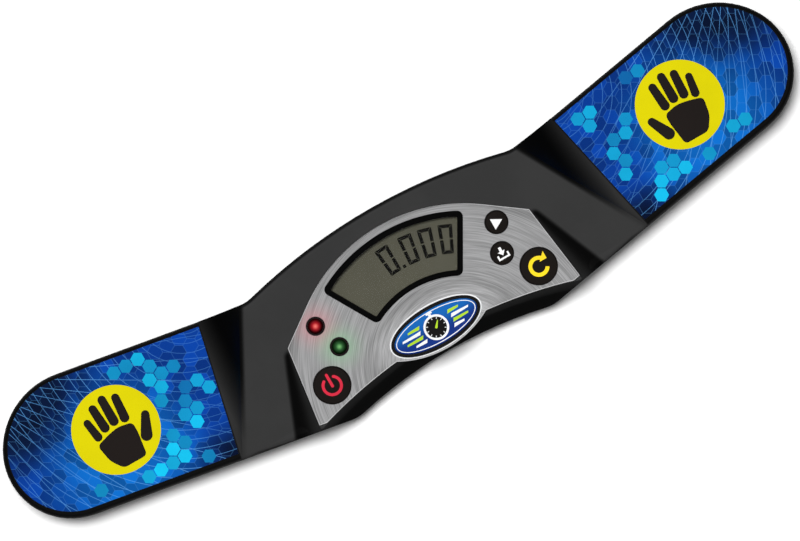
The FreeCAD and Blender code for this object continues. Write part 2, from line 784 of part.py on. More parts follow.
def plunger(x, y):
    high = board_top + switch_height + plunger_rise
    return seat(drum(plunger_radius, x, y, board_top + button_travel + plunger_stop, high))


def lamp(x, y):
    """Round lamp with a domed top and a foot on the board."""
    ball_z = plate_thickness + lamp_rise - lamp_radius
    lens = drum(lamp_radius, x, y, board_top, ball_z).fuse(Part.makeSphere(lamp_radius, vec(x, y, ball_z)))
    foot = drum(lamp_foot_radius, x, y, board_top, board_top + lamp_foot_height)
    return seat(fused([lens, foot]))


def lamp_collars():
    collars = []
    for name, x, y in lamps:
        top = plate_thickness + collar_height
        flange = round_level_edges(drum(collar_radius, x, y, plate_thickness, top), top, collar_fit)
        collar = fused([flange, drum(collar_barrel, x, y, -deck - collar_tail, plate_thickness)])
        collars.append(seat(collar.cut(drum(lamp_radius + collar_fit, x, y, -2 * deck, top))))
    return Part.makeCompound(collars)


def badge_frame():
    top = plate_thickness + badge_height
    frame = oval(badge_half_x, badge_half_y, badge_y, plate_thickness, top)
    frame = round_level_edges(frame, top, badge_round)
    return seat(frame.cut(oval(badge_half_x - badge_rim, badge_half_y - badge_rim, badge_y,
                               top - badge_pocket, top)))


def badge_inlay():
    low = plate_thickness + badge_height - badge_pocket
    top = low + badge_pocket + inlay_rise
    rim = badge_rim + badge_fit
    return seat(round_level_edges(oval(badge_half_x - rim, badge_half_y - rim, badge_y, low, top),
                                  top, badge_round))


# Touch pads and their wiring
def touch_pad():
    low = arm_top - pad_recess
    return pad_block(0, pad_foot_gap, low, low + pad_thickness)


def sensor_plate():
    high = arm_top - deck
    plate = pad_block(-sensor_inset, sensor_foot_gap, high - sensor_thickness, high)
    return plate.cut(drum(screw_boss_radius + clear_gap, tip_screw.x, tip_screw.y, 0, high))


def sensor_lead():
    low = arm_top - deck - sensor_thickness - lead_radius
    high = board_under_z(sensor_lead_y) - lead_radius / math.cos(math.radians(console_tilt))
    inner = board_x - sensor_lead_overlap
    outer = ramp_front_x + sensor_foot_gap + sensor_inset + sensor_lead_overlap
    points = [vec(outer, sensor_lead_y, low), vec(ramp_front_x, sensor_lead_y, low),
              vec(board_x + sensor_lead_overlap, sensor_lead_y, high), vec(inner, sensor_lead_y, high)]
    return tube(points, lead_radius, lead_bend)


# Cells, contacts and door
def cell(y, side):
    """Cell lying across the case, its nub towards the given side."""
    tip = side * (bay_x - contact_thickness - contact_tip_gap)
    axis = vec(-side, 0, 0)
    can = Part.makeCylinder(cell_radius, cell_length - cell_nub, vec(tip - side * cell_nub, y, cell_z), axis)
    ends = [e for e in can.Edges if e.BoundBox.XMax - e.BoundBox.XMin < close_match]
    can = can.makeFillet(cell_round, ends)
    return fused([can, Part.makeCylinder(cell_nub_radius, cell_nub + cell_gap, vec(tip, y, cell_z), axis)])


def end_plate(side, y):
    near = bay_x - contact_thickness
    x0, x1 = sorted((side * near, side * bay_x))
    return block(x0, x1, y - contact_width / 2, y + contact_width / 2, door_seat_z + contact_thickness,
                 bay_ceiling - glue_gap)


def nub_contact(side, y):
    near = side * (bay_x - contact_thickness)
    dimple = Part.makeCylinder(cell_nub_radius, contact_tip_gap, vec(near, y, cell_z), vec(-side, 0, 0))
    return fused([end_plate(side, y), dimple])


def spring_contact(side, y):
    """Plate with a bowed leaf that reaches the flat end of a cell."""
    near = bay_x - contact_thickness
    tip = contact_tip_gap + contact_thickness + cell_length - bay_x + cell_gap / 2
    rise = cell_radius - leaf_margin
    half = contact_width / 2
    lean = contact_thickness * math.sqrt(1 + (rise / (near - tip)) ** 2)
    low, high = cell_z - rise, cell_z + rise
    bow = [vec(near, 0, low), vec(near, 0, low - lean), vec(tip, 0, cell_z - lean / 2),
           vec(tip, 0, cell_z + lean / 2), vec(near - contact_thickness, 0, high),
           vec(near - contact_thickness, 0, high - lean), vec(tip + lean, 0, cell_z)]
    leaf = Part.Face(polygon(bow)).extrude(vec(0, 2 * half, 0))
    leaf.translate(vec(0, y - half, 0))
    if side < 0:
        leaf = mirrored(leaf)
    return fused([end_plate(side, y), leaf])


def board_lug(y):
    return block(-bay_x, -bay_x + contact_thickness, y - lug_width / 2, y + lug_width / 2,
                 bay_ceiling - glue_gap, board_under_z(y - lug_width / 2) - glue_gap)


def battery_contacts():
    rear_y_cell = cell_front_y + cell_pitch
    tab = fused([nub_contact(-1, cell_front_y), board_lug(cell_front_y)])
    spring = fused([spring_contact(-1, rear_y_cell), board_lug(rear_y_cell)])
    strap = block(bay_x - contact_thickness, bay_x, cell_front_y, rear_y_cell, cell_z - lug_width, cell_z)
    bridge = fused([spring_contact(1, cell_front_y), nub_contact(1, rear_y_cell), strap])
    return tab, spring, bridge


def battery_door():
    door = rounded_block(-door_x, door_x, door_front_y, door_rear_y, foot_height, door_top, door_corner)
    cuts = []
    for side in (-1, 1):
        cuts.append(drum(door_screw_head + clear_gap, side * door_screw_x, door_screw_y, 0, door_head_z))
        cuts.append(drum(door_screw_radius + collar_fit, side * door_screw_x, door_screw_y, 0, door_top))
    middle = (door_front_y + door_rear_y) / 2
    for i in range(grip_count):
        y = middle + (i - (grip_count - 1) / 2) * grip_pitch
        cuts.append(block(-cell_pitch, cell_pitch, y - grip_width / 2, y + grip_width / 2,
                          0, foot_height + grip_depth))
    return door.cut(cuts)


def door_screw(side):
    return screw(side * door_screw_x, door_screw_y, door_screw_head, door_screw_head_height,
                 door_screw_radius, door_screw_length, foot_height + door_screw_sink)


# Fasteners, feet and data socket
def case_screw_set():
    return Part.makeCompound([screw(p.x, p.y, screw_head_radius, screw_head_height, screw_radius,
                                    screw_length, foot_height + screw_sink) for p in screw_places])


def board_screw_set():
    head = 2 * board_screw_radius
    low = board_base - board_thickness
    return Part.makeCompound([
        seat(drum(head, x, y, low, board_base).fuse(
            drum(board_screw_radius, x, y, low, board_top + board_screw_grip - clear_gap)))
        for x, y in board_screws])


def rubber_feet():
    return Part.makeCompound([
        round_level_edges(drum(foot_radius, p.x, p.y, 0, foot_height + foot_sink), 0, foot_round)
        for p in foot_places])


def data_socket():
    body = block(jack_x - jack_width / 2, jack_x + jack_width / 2, jack_front_y, jack_rear_y,
                 jack_z - jack_height / 2, jack_z + jack_height / 2)
    nose = Part.makeCylinder(jack_nose_radius, jack_mouth_y - jack_rear_y,
                             vec(jack_x, jack_rear_y, jack_z), vec(0, 1, 0))
    bore = Part.makeCylinder(jack_bore, jack_hole_depth, vec(jack_x, jack_mouth_y, jack_z), vec(0, -1, 0))
    return fused([body, nose]).cut(bore)


def socket_leads():
    leads = []
    for side in (-1, 1):
        x = jack_x + side * jack_lead_x
        top = board_under_z(jack_lead_y - jack_lead_radius)
        leads.append(tube([vec(x, jack_front_y, jack_z), vec(x, jack_lead_y, jack_z),
                           vec(x, jack_lead_y, top)], jack_lead_radius, jack_lead_bend))
    return Part.makeCompound(leads)


def timer():
    """Every piece by name."""
    tab, spring, bridge = battery_contacts()
    pad, sensor, lead = touch_pad(), sensor_plate(), sensor_lead()
    pieces = {
        "upper_housing": upper_housing(),
        "lower_housing": lower_housing(),
        "console_plate": console_plate(),
        "display_bezel": display_bezel(),
        "display_window": display_window(),
        "lcd_panel": lcd_panel(),
        "lcd_frame": lcd_frame(),
        "zebra_strip": zebra_strip(),
        "main_board": main_board(),
        "controller_chip": under_board(*chip),
        "crystal": under_board(*crystal),
        "data_coupler": under_board(*coupler),
        "capacitor": capacitor_can(),
        "resistors": resistors(),
        "tact_switches": tact_switches(),
        "lamp_collars": lamp_collars(),
        "badge_frame": badge_frame(),
        "badge_inlay": badge_inlay(),
        "right_touch_pad": pad,
        "left_touch_pad": mirrored(pad),
        "right_sensor_plate": sensor,
        "left_sensor_plate": mirrored(sensor),
        "sensor_leads": Part.makeCompound([lead, mirrored(lead)]),
        "front_cell": cell(cell_front_y, -1),
        "rear_cell": cell(cell_front_y + cell_pitch, 1),
        "contact_tab": tab,
        "contact_spring": spring,
        "contact_bridge": bridge,
        "battery_door": battery_door(),
        "left_door_screw": door_screw(-1),
        "right_door_screw": door_screw(1),
        "case_screws": case_screw_set(),
        "board_screws": board_screw_set(),
        "rubber_feet": rubber_feet(),
        "data_socket": data_socket(),
        "socket_leads": socket_leads(),
    }
    for name, x, y, radius in buttons:
        pieces[name + "_button"] = button_cap(x, y, radius)
        pieces[name + "_plunger"] = plunger(x, y)
    for name, x, y in lamps:
        pieces[name] = lamp(x, y)
    return pieces


if __name__ == "__main__":
    os.makedirs("parts", exist_ok=True)
    for node, shape in timer().items():
        shape.exportStep("parts/" + node + ".step")
        print(node, len(shape.Solids), shape.isValid(), round(shape.Volume, 1))
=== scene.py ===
"""Looks of the puzzle-solving timer, dressed onto its solid model.

Each operator below dresses one group of pieces, and main() runs them in order.
Lengths are in metres, in the model's own frame.
"""
import json
import math

import bmesh
import bpy
from bpy.props import FloatProperty, FloatVectorProperty, IntProperty, PointerProperty
from mathutils import Matrix, Vector


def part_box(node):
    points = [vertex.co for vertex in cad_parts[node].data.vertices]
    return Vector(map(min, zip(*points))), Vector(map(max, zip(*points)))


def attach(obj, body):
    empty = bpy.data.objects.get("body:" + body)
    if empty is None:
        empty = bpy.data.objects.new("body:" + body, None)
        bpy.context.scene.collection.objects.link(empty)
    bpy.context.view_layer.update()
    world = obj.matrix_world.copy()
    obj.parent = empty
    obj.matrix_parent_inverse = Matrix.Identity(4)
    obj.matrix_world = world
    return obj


bl_info = {
    "name": "Puzzle Timer Looks",
    "version": (1, 0, 0),
    "blender": (4, 5, 0),
    "location": "View3D > Sidebar > Timer",
    "description": "Finishes and printed details of a two-handed puzzle timer",
    "category": "Object",
}

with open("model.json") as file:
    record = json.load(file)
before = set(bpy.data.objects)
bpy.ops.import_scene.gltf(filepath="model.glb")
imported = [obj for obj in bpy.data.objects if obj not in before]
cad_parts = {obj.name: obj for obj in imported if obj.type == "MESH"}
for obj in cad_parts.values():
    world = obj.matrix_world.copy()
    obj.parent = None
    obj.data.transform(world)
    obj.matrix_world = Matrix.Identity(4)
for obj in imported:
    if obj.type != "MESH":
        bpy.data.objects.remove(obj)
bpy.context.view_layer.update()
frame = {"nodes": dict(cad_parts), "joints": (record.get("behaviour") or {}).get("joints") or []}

MM = 0.001
PRINT = 0.03 * MM  # thickness of an ink layer
SINK = 0.01 * MM  # an ink layer starts this far inside what carries it
TOUCH = 0.001 * MM  # points nearer to each other than this are one
ROOT3 = math.sqrt(3.0)

nodes = frame["nodes"]
press_axis = Vector(next(j["axis"] for j in frame["joints"] if j["name"] == "power_press"))
console_tilt = math.asin(press_axis.y)
console_turn = Matrix.Rotation(console_tilt, 4, "X")


def console_box(node):
    """Lowest and highest corner of a node along the tilted console's own axes."""
    back = console_turn.inverted()
    columns = list(zip(*(back @ v.co for v in nodes[node].data.vertices)))
    return Vector([min(c) for c in columns]), Vector([max(c) for c in columns])


def middle(box):
    return (box[0] + box[1]) / 2


# Properties
def length(value, name, description):
    """A length, with its default in millimetres."""
    return FloatProperty(name=name, description=description, default=value * MM, unit="LENGTH", precision=5)


def angle(value, name, description):
    """An angle, with its default in degrees."""
    return FloatProperty(name=name, description=description, default=math.radians(value), subtype="ANGLE")


def share(value, name, description):
    return FloatProperty(name=name, description=description, default=value, min=0.0, max=1.0,
                         subtype="FACTOR")


def colour(red, green, blue, name, description):
    return FloatVectorProperty(name=name, description=description, default=(red, green, blue),
                               size=3, min=0.0, max=1.0, subtype="COLOR")


class CaseSettings(bpy.types.PropertyGroup):
    body: colour(0.033, 0.033, 0.033, "Body", "Moulded plastic of the upper housing")
    base: colour(0.019, 0.019, 0.019, "Base", "Moulded plastic of the lower housing and the door")
    roughness: share(0.45, "Roughness", "How matt the housings are")
    grain: length(0.35, "Grain", "Size of the moulded grain")
    # The settings from here on place the housing's painted shade in its ramps, facets and walls
    ramp_x: length(78.2, "Ramp Tip X", "Where a ramp's crease and foot meet at the front")
    ramp_y: length(-25.0, "Ramp Tip Y", "Where a ramp's crease and foot meet at the front")
    crease_turn: angle(29.1, "Crease Turn", "Turn of a ramp's crease from front to rear")
    foot_turn: angle(12.35, "Foot Turn", "Turn of a ramp's foot from front to rear")
    arm_top: length(15.5, "Arm Top", "Height of the arms round the pads")
    arm_angle: angle(9.8, "Arm Angle", "How far each arm sweeps back")
    arm_rear: length(10.65, "Arm Rear", "Rear edge of an arm, from the middle, across the arm")
    arm_width: length(48.4, "Arm Width", "From the rear to the front edge of an arm")
    roof_tilt: angle(12.0, "Roof Tilt", "Rise of the roof from front to rear")
    seat_top: length(20.75, "Seat Top", "Height of the console plate's seat at the facet's rear end")
    facet_x: length(46.2, "Facet X", "Rear end of the facet beside the console plate")
    facet_y: length(-0.3, "Facet Y", "Rear end of the facet beside the console plate")
    facet_turn: angle(22.8, "Facet Turn", "Turn of the facet's foot from front to rear")
    plate_turn: angle(7.66, "Plate Turn", "Turn of the console plate's side from front to rear")


class ConsoleSettings(bpy.types.PropertyGroup):
    metal: colour(0.385, 0.385, 0.389, "Metal", "Brushed plate of the console")
    # Painted highlight colour of the plate, used round the badge and the display
    pale: colour(0.69, 0.69, 0.70, "Pale Metal", "Plate where it catches the light round the badge")
    # Paler than the plate: a painted highlight on its rounded edge
    edge: colour(0.86, 0.86, 0.87, "Edge", "Bright edge round the plate")
    arc_radius: length(54.3, "Arc Radius", "From the display arc's centre to its rear edge")
    brush_x: length(2.0, "Brushing X", "Centre of the brushed arcs")
    brush_y: length(-31.0, "Brushing Y", "Centre of the brushed arcs")
    stroke: length(0.3, "Stroke", "Width of one brushed stroke")
    bevel: length(0.16, "Bevel", "Size of the bright edge round the plate")
    # Painted lamp glow on the plate round the two lamps
    painted_glow_reach: length(10.5, "Glow Reach", "How far a lamp tints the plate round it")
    painted_red_glow: colour(0.93, 0.36, 0.40, "Red Glow", "Tint of the plate round the red lamp")
    painted_green_glow: colour(0.45, 0.86, 0.50, "Green Glow", "Tint of the plate round the green lamp")


class DisplaySettings(bpy.types.PropertyGroup):
    glass: colour(0.101, 0.099, 0.071, "Glass", "Film behind the digits")
    ink: colour(0.0022, 0.0022, 0.0018, "Digits", "Dark segments of the digits")
    inner_radius: length(40.1, "Digit Foot", "Foot of the digits, from the centre of the display's arc")
    outer_radius: length(49.95, "Digit Top", "Top of the digits, from the same centre")
    half_angle: angle(2.85, "Digit Half Width", "Half the width of a digit, seen from that centre")
    first_angle: angle(-3.4, "First Digit", "Middle of the first digit, from the middle of the display")
    second_angle: angle(6.6, "Second Digit", "Middle of the digit after the point")
    pitch: angle(8.15, "Pitch", "From one digit to the next after the point")
    point_angle: angle(1.4, "Point", "Place of the decimal point")
    point_size: length(1.05, "Point Size", "Side of the decimal point")
    stroke: length(1.18, "Stroke", "Width of one segment")
    gap: length(0.12, "Gap", "Space left between two segments")


class ButtonSettings(bpy.types.PropertyGroup):
    cap: colour(0.0085, 0.0065, 0.0055, "Cap", "Moulded caps of the push buttons")
    red: colour(0.62, 0.012, 0.040, "Power Mark", "Ink of the power mark")
    yellow: colour(0.92, 0.66, 0.008, "Reset Mark", "Ink of the reset mark")
    white: colour(0.88, 0.88, 0.88, "Recall and Save Marks", "Ink of the small buttons' marks")
    ring_radius: length(3.05, "Power Ring", "Middle of the power mark's ring")
    ring_stroke: length(0.98, "Power Stroke", "Width of the power mark's strokes")
    ring_gap: angle(36.0, "Power Opening", "Half the opening at the top of the power mark's ring")
    arrow_radius: length(2.85, "Reset Ring", "Middle of the reset mark's ring")
    arrow_stroke: length(1.3, "Reset Stroke", "Width of the reset mark's ring")


class BadgeSettings(bpy.types.PropertyGroup):
    rim: colour(0.006, 0.005, 0.005, "Rim", "Gloss frame of the badge")
    blue: colour(0.003, 0.115, 0.42, "Blue", "Field of the badge")
    # Painted shade colour of the badge's field
    painted_shade_blue: colour(0.002, 0.025, 0.19, "Deep Blue", "Shaded part of the field")
    green: colour(0.42, 0.66, 0.012, "Green", "Green bars of the badge")
    white: colour(0.86, 0.87, 0.88, "White", "Lines and bars of the badge")
    keyline: length(0.45, "Keyline", "Width of the white line round the frame")
    dial_radius: length(4.3, "Dial", "Radius of the pictured stopwatch")
    ticks: IntProperty(name="Ticks", description="Marks round the pictured dial", default=12, min=4)


class PadSettings(bpy.types.PropertyGroup):
    bright: colour(0.002, 0.105, 0.41, "Bright", "Film in the lit middle of the print")
    deep: colour(0.001, 0.036, 0.25, "Deep", "Film beside the middle")
    dark: colour(0.0005, 0.006, 0.032, "Dark", "Film in the far corners")
    line: colour(0.10, 0.34, 0.74, "Lines", "Thin printed lines")
    tile_low: colour(0.003, 0.085, 0.29, "Dim Tiles", "Dimmest printed tile")
    tile_high: colour(0.006, 0.50, 0.78, "Bright Tiles", "Brightest printed tile")
    disc: colour(0.63, 0.56, 0.0010, "Disc", "Hand disc")
    hand: colour(0.012, 0.009, 0.008, "Hand", "Mark on the hand disc")
    pitch: length(4.6, "Tile Pitch", "From one tile of the lattice to the next")
    disc_radius: length(15.0, "Disc Radius", "Radius of the hand disc")
    disc_x: length(108.5, "Disc Place", "Middle of the hand disc, from the middle of the timer")
    disc_shift: length(-1.08, "Disc Shift", "Both hand discs moved sideways together")
    disc_y: length(4.95, "Disc Depth", "Middle of the hand disc, front to rear")
    hand_height: length(25.0, "Hand Height", "From the wrist to the tip of the middle finger")
    seed: IntProperty(name="Seed", description="Chooses which tiles are printed", default=7, min=0)


class StageSettings(bpy.types.PropertyGroup):
    floor: colour(0.93, 0.93, 0.93, "Floor", "Plain floor")
    view_width: length(266.7, "View Width", "Width of the picture at the pads' height")
    lens: length(200.0, "Lens", "Focal length of the camera")
    turn: angle(30.0, "Turn", "How far the timer is turned in the picture")
    lean: angle(2.0, "Lean", "How far the camera leans towards the user")
    centre_x: length(-1.04, "Centre X", "Point of the timer in the middle of the picture")
    centre_y: length(3.64, "Centre Y", "Point of the timer in the middle of the picture")


# Node trees
def worked_out(operation):
    return lambda wire, *others: wire.then(operation, *others)


class Wire:
    """A value in a node tree. Arithmetic on it adds the nodes that work it out."""

    __add__ = __radd__ = worked_out("ADD")
    __sub__ = worked_out("SUBTRACT")
    __mul__ = worked_out("MULTIPLY")
    __truediv__ = worked_out("DIVIDE")
    __pow__ = worked_out("POWER")
    __abs__ = worked_out("ABSOLUTE")
    __gt__ = worked_out("GREATER_THAN")
    __lt__ = worked_out("LESS_THAN")

    def __init__(self, socket):
        self.socket = socket
        self.tree = socket.id_data

    def __rsub__(self, other):
        return self * -1.0 + other

    def then(self, operation, *values):
        """Result of a Math or Vector Math node that starts from this value."""
        kind = "ShaderNodeVectorMath" if self.socket.type == "VECTOR" else "ShaderNodeMath"
        return add(self.tree, kind, dict(enumerate((self, *values))), operation=operation)

    def fade(self, low, high, to_low=0.0, to_high=1.0):
        """This value moved smoothly from one range to another, and held at its ends."""
        return add(self.tree, "ShaderNodeMapRange", dict(enumerate((self, low, high, to_low, to_high))),
                   interpolation_type="SMOOTHSTEP")

    def mix(self, first, second, data_type="FLOAT"):
        """The first value where this one is zero, and the second where it is one."""
        return add(self.tree, "ShaderNodeMix", {"Factor": self, "A": first, "B": second},
                   data_type=data_type)

    @property
    def xyz(self):
        node = add(self.tree, "ShaderNodeSeparateXYZ", {0: self}).socket.node
        return [Wire(socket) for socket in node.outputs]


def join(value, socket):
    """Join a wire to a socket, or set the socket to a plain value."""
    if isinstance(value, Wire):
        value.tree.links.new(value.socket, socket)
    elif socket.type == "RGBA" and len(value) == 3:
        socket.default_value = (*value, 1.0)
    else:
        socket.default_value = value


def in_use(sockets, name=None):
    """The socket of that name, or the first one, that a node uses as it is set."""
    return next(s for s in sockets if s.enabled and name in (None, s.name))


def add(tree, kind, inputs=None, output=None, **settings):
    """Add a node, its inputs given by number or by name, and return one of its outputs."""
    node = tree.nodes.new(kind)
    for key, value in settings.items():
        setattr(node, key, value)
    for key, value in (inputs or {}).items():
        join(value, node.inputs[key] if isinstance(key, int) else in_use(node.inputs, key))
    return Wire(in_use(node.outputs, output))


def vector(*values):
    """A vector of up to three numbers, one of which is a wire."""
    tree = next(v.tree for v in values if isinstance(v, Wire))
    return add(tree, "ShaderNodeCombineXYZ", dict(enumerate(values)))


def noise(place, scale, detail=2.0, roughness=0.5):
    return add(place.tree, "ShaderNodeTexNoise",
               {"Vector": place, "Scale": scale, "Detail": detail, "Roughness": roughness})


def grouped(kind, name, inputs, outputs):
    """Turn a function that wires up outputs into one that gives its node group, built once.

    An input is given by its default number or by its type, and an output by its type.
    """
    types = {float: "Float", int: "Int"}

    def decorate(wire_up):
        def group(*settings):
            if name in bpy.data.node_groups:
                return bpy.data.node_groups[name]
            tree = bpy.data.node_groups.new(name, kind)
            for key, value in inputs.items():
                number = types.get(type(value))
                socket = tree.interface.new_socket(key, in_out="INPUT",
                                                   socket_type="NodeSocket" + (number or value))
                if number:
                    socket.default_value = value
            for key, value in outputs.items():
                tree.interface.new_socket(key, in_out="OUTPUT", socket_type="NodeSocket" + value)
            given = tree.nodes.new("NodeGroupInput").outputs
            result = tree.nodes.new("NodeGroupOutput").inputs
            made = wire_up(tree, {key: Wire(given[key]) for key in inputs}, *settings)
            for key, value in zip(outputs, made):
                join(value, result[key])
            return tree
        return group
    return decorate


@grouped("ShaderNodeTree", "Satin Grain", {"Vector": "Vector", "Grain Scale": 3000.0, "Wear": 0.5},
         {"Height": "Float", "Tone": "Float", "Shine": "Float"})
def satin_grain(tree, given):
    """Fine moulded grain with soft patches of wear."""
    grain = noise(given["Vector"], given["Grain Scale"], 3.0, 0.65)
    patches = noise(given["Vector"], 34.0, 4.0, 0.6)
    worn = patches.fade(0.35, 0.65, -1.0, 1.0) * given["Wear"]
    return grain, worn * 0.14 + 1.0, worn * 0.07


@grouped("ShaderNodeTree", "Painted Recess Shade", {"Vector": "Vector"}, {"Tone": "Float"})
def painted_recess_shade(tree, given, settings):
    """Painted shade of the housing: full tone on the roof, falling away into the ramps, the facets and the
    walls.
    """
    x, y, z = given["Vector"].xyz
    x = abs(x)
    arm_depth = settings.arm_top - z
    across_arm = y * math.cos(settings.arm_angle) - x * math.sin(settings.arm_angle)

    def outside(start_x, start_y, turn):
        """Distance outwards from a line that leans away from the middle towards the front."""
        return (x - start_x) * math.cos(turn) + (y - start_y) * math.sin(turn)

    # Painted shade on the ramps, darkest along their foot
    from_crease = outside(settings.ramp_x, settings.ramp_y, settings.crease_turn)
    past_ramp = outside(settings.ramp_x, settings.ramp_y, settings.foot_turn).fade(-0.2 * MM, 0.4 * MM)
    in_plan = 1.0 - (across_arm > settings.arm_rear - 0.05 * MM) * (1.0 - past_ramp)
    on_ramp = from_crease.fade(-2.0 * MM, -0.1 * MM) * in_plan
    painted_light_level = (from_crease * 88.0 + y * -39.0 + 0.18).then("MAXIMUM", 0.10).then("MINIMUM", 0.88)
    ramp = past_ramp.mix(on_ramp.mix(1.0, painted_light_level), arm_depth.fade(0.05 * MM, 0.9 * MM, 0.28, 1.0))

    # Painted shade on the facets beside the console plate
    from_plate = outside(settings.facet_x, settings.facet_y, settings.plate_turn)
    from_foot = outside(settings.facet_x, settings.facet_y, settings.facet_turn)
    past_foot = from_foot.fade(0.2 * MM, 2.3 * MM)
    down = (from_plate / (from_plate - from_foot + 0.4 * MM)).fade(0.0, 1.0, 0.72, 0.08)
    on_facet = y.fade(settings.facet_y - 2.5 * MM, settings.facet_y, 1.0, 0.0) * (from_plate > 0.0)
    facet = on_facet.mix(1.0, down.then("MAXIMUM", past_foot))

    # Painted shade on the front wall under the console plate
    below_seat = (y - settings.facet_y) * math.tan(console_tilt) + settings.seat_top - z
    under_plate = (from_plate < 0.3 * MM) * (y < settings.facet_y - 10.0 * MM)
    front = below_seat.fade(0.1 * MM, 0.4 * MM, 1.0, 0.66) * below_seat.fade(0.4 * MM, 7.0 * MM, 1.0, 0.3)
    front = under_plate.mix(1.0, front)

    # Painted shade on the walls round the roof, and their run into the walls of the arms
    below_roof = (y - settings.ramp_y) * math.tan(settings.roof_tilt) + settings.arm_top - z
    off_facet = past_foot.then("MAXIMUM", 1.0 - on_facet)
    wall = off_facet.mix(below_roof.fade(0.1 * MM, 2.6 * MM, 1.0, 0.5),
                         below_roof.fade(0.02 * MM, 0.35 * MM, 1.0, 0.44))
    arm_start = y.fade(-20.0 * MM, -12.0 * MM, -14.0 * MM, -2.0 * MM)
    on_arm = from_crease.fade(arm_start, -0.1 * MM) * in_plan
    wall = on_arm.mix(wall, arm_depth.fade(0.9 * MM, 3.2 * MM, 1.0, 0.5))
    in_front = across_arm < settings.arm_rear - settings.arm_width / 2
    low_front = in_front * arm_depth.fade(1.2 * MM, 2.8 * MM)
    # Painted shade: the tones above multiplied, with the low front walls darkened further
    shade = low_front.mix(ramp * facet * front * wall, x.fade(44.0 * MM, 76.0 * MM, 0.12, 0.5))
    return [shade ** 2.2]


@grouped("ShaderNodeTree", "Brushed Arcs",
         {"Vector": "Vector", "Centre": "Vector", "Stroke Scale": 2800.0, "Stroke Turn": 5.0},
         {"Height": "Float", "Tone": "Float"})
def brushed_arcs(tree, given):
    """Strokes of brushed metal that run round a centre."""
    x, y = (given["Vector"] - given["Centre"]).xyz[:2]
    across = vector(x, y).then("LENGTH") * given["Stroke Scale"]
    place = vector(across, x.then("ARCTAN2", y) * given["Stroke Turn"])
    fine = noise(place, 1.0, 2.0, 0.7)
    broad = noise(place * (0.21, 0.8, 1.0), 1.0, 3.0, 0.6)
    both = fine * 0.72 + broad * 0.28
    return both, both.fade(0.33, 0.67, 0.66, 1.27)


@grouped("ShaderNodeTree", "Honeycomb", {"Vector": "Vector", "Pitch": 1.0},
         {"Edge": "Float", "Cell": "Float"})
def honeycomb(tree, given):
    """Six-sided cells: how near the edge of its cell a point is, and a number for each cell."""
    flat = given["Vector"] / given["Pitch"] * (1.0, 1.0, 0.0)
    step = (1.0, ROOT3, 1.0)
    half = (0.5, ROOT3 / 2, 0.0)

    def nearest(point):
        """Offset of a point from the nearest centre of one rectangular lattice."""
        return (point + half).then("WRAP", step, (0.0, 0.0, 0.0)) - half

    first, second = nearest(flat), nearest(flat + half)
    offset = (second.then("LENGTH") < first.then("LENGTH")).mix(first, second, "VECTOR")
    x, y = offset.then("ABSOLUTE").xyz[:2]
    edge = 0.5 - x.then("MAXIMUM", x * 0.5 + y * (ROOT3 / 2))
    snapped = (flat - offset + (0.1, 0.1, 0.0)).then("SNAP", (0.25, 0.25, 1.0))
    cell = add(tree, "ShaderNodeTexWhiteNoise", {"Vector": snapped}, noise_dimensions="3D")
    return edge, cell


@grouped("ShaderNodeTree", "Painted Glow Spot", {"Vector": "Vector", "Centre": "Vector", "Reach": 0.01},
         {"Mask": "Float"})
def painted_glow_spot(tree, given):
    """Soft round spot of painted lamp glow that fades to nothing at its reach."""
    far = given["Vector"].then("DISTANCE", given["Centre"])
    return [(1.0 - far / given["Reach"]).then("MAXIMUM", 0.0) ** 1.8]


class Finish:
    """A material, with short calls for what its tree needs."""

    def __init__(self, name, roughness, gloss=0.5, **sockets):
        self.material = bpy.data.materials.new(name)
        self.material.use_nodes = True
        self.tree = self.material.node_tree
        self.shader = next(n for n in self.tree.nodes if n.type == "BSDF_PRINCIPLED")
        self.place = add(self.tree, "ShaderNodeTexCoord", output="Object")
        sockets.update(Roughness=roughness, Specular_IOR_Level=gloss)
        for socket, value in sockets.items():
            self.set(socket.replace("_", " "), value)

    def set(self, socket, value):
        join(value, self.shader.inputs[socket])

    def group(self, tree, **inputs):
        """Outputs of a shared effect, its inputs given with an underscore for each space."""
        node = self.tree.nodes.new("ShaderNodeGroup")
        node.node_tree = tree
        for key, value in inputs.items():
            join(value, node.inputs[key.replace("_", " ")])
        return [Wire(socket) for socket in node.outputs]

    def in_console(self):
        """Place along the tilted console's own axes."""
        return add(self.tree, "ShaderNodeMapping",
                   {"Vector": self.place, "Rotation": (-console_tilt, 0.0, 0.0)})

    def grained(self, scale, wear):
        """Height, tone and shine of the shared grain."""
        return self.group(satin_grain(), Vector=self.place, Grain_Scale=scale, Wear=wear)

    def bump(self, height, distance):
        self.set("Normal", add(self.tree, "ShaderNodeBump",
                               {"Height": height, "Distance": distance, "Strength": 1.0}))

    def toned(self, base, tone):
        """A colour made lighter or darker by a number near one."""
        grey = add(self.tree, "ShaderNodeCombineColor", {0: tone, 1: tone, 2: tone})
        return add(self.tree, "ShaderNodeMix", {"Factor": 1.0, "A": base, "B": grey},
                   data_type="RGBA", blend_type="MULTIPLY")


def moulded(name, base, roughness, gloss=0.5, grain=0.2, depth=0.002, wear=0.5, shade=None, **sockets):
    """Plain moulded, cast or drawn stuff with its wear and its grain, which is sized in millimetres."""
    finish = Finish(name, roughness, gloss, **sockets)
    height, tone, shine = finish.grained(1.0 / (grain * MM), wear)
    # A shade group, where given, darkens the tone with painted shade
    if shade:
        tone = tone * finish.group(shade, Vector=finish.place)[0]
    finish.set("Base Color", finish.toned(base, tone))
    finish.set("Roughness", shine + roughness)
    finish.bump(height, depth * MM)
    return finish.material


def dress(names, material):
    """Give CAD nodes, named in one line, a material."""
    for name in names.split():
        nodes[name].data.materials.clear()
        nodes[name].data.materials.append(material)


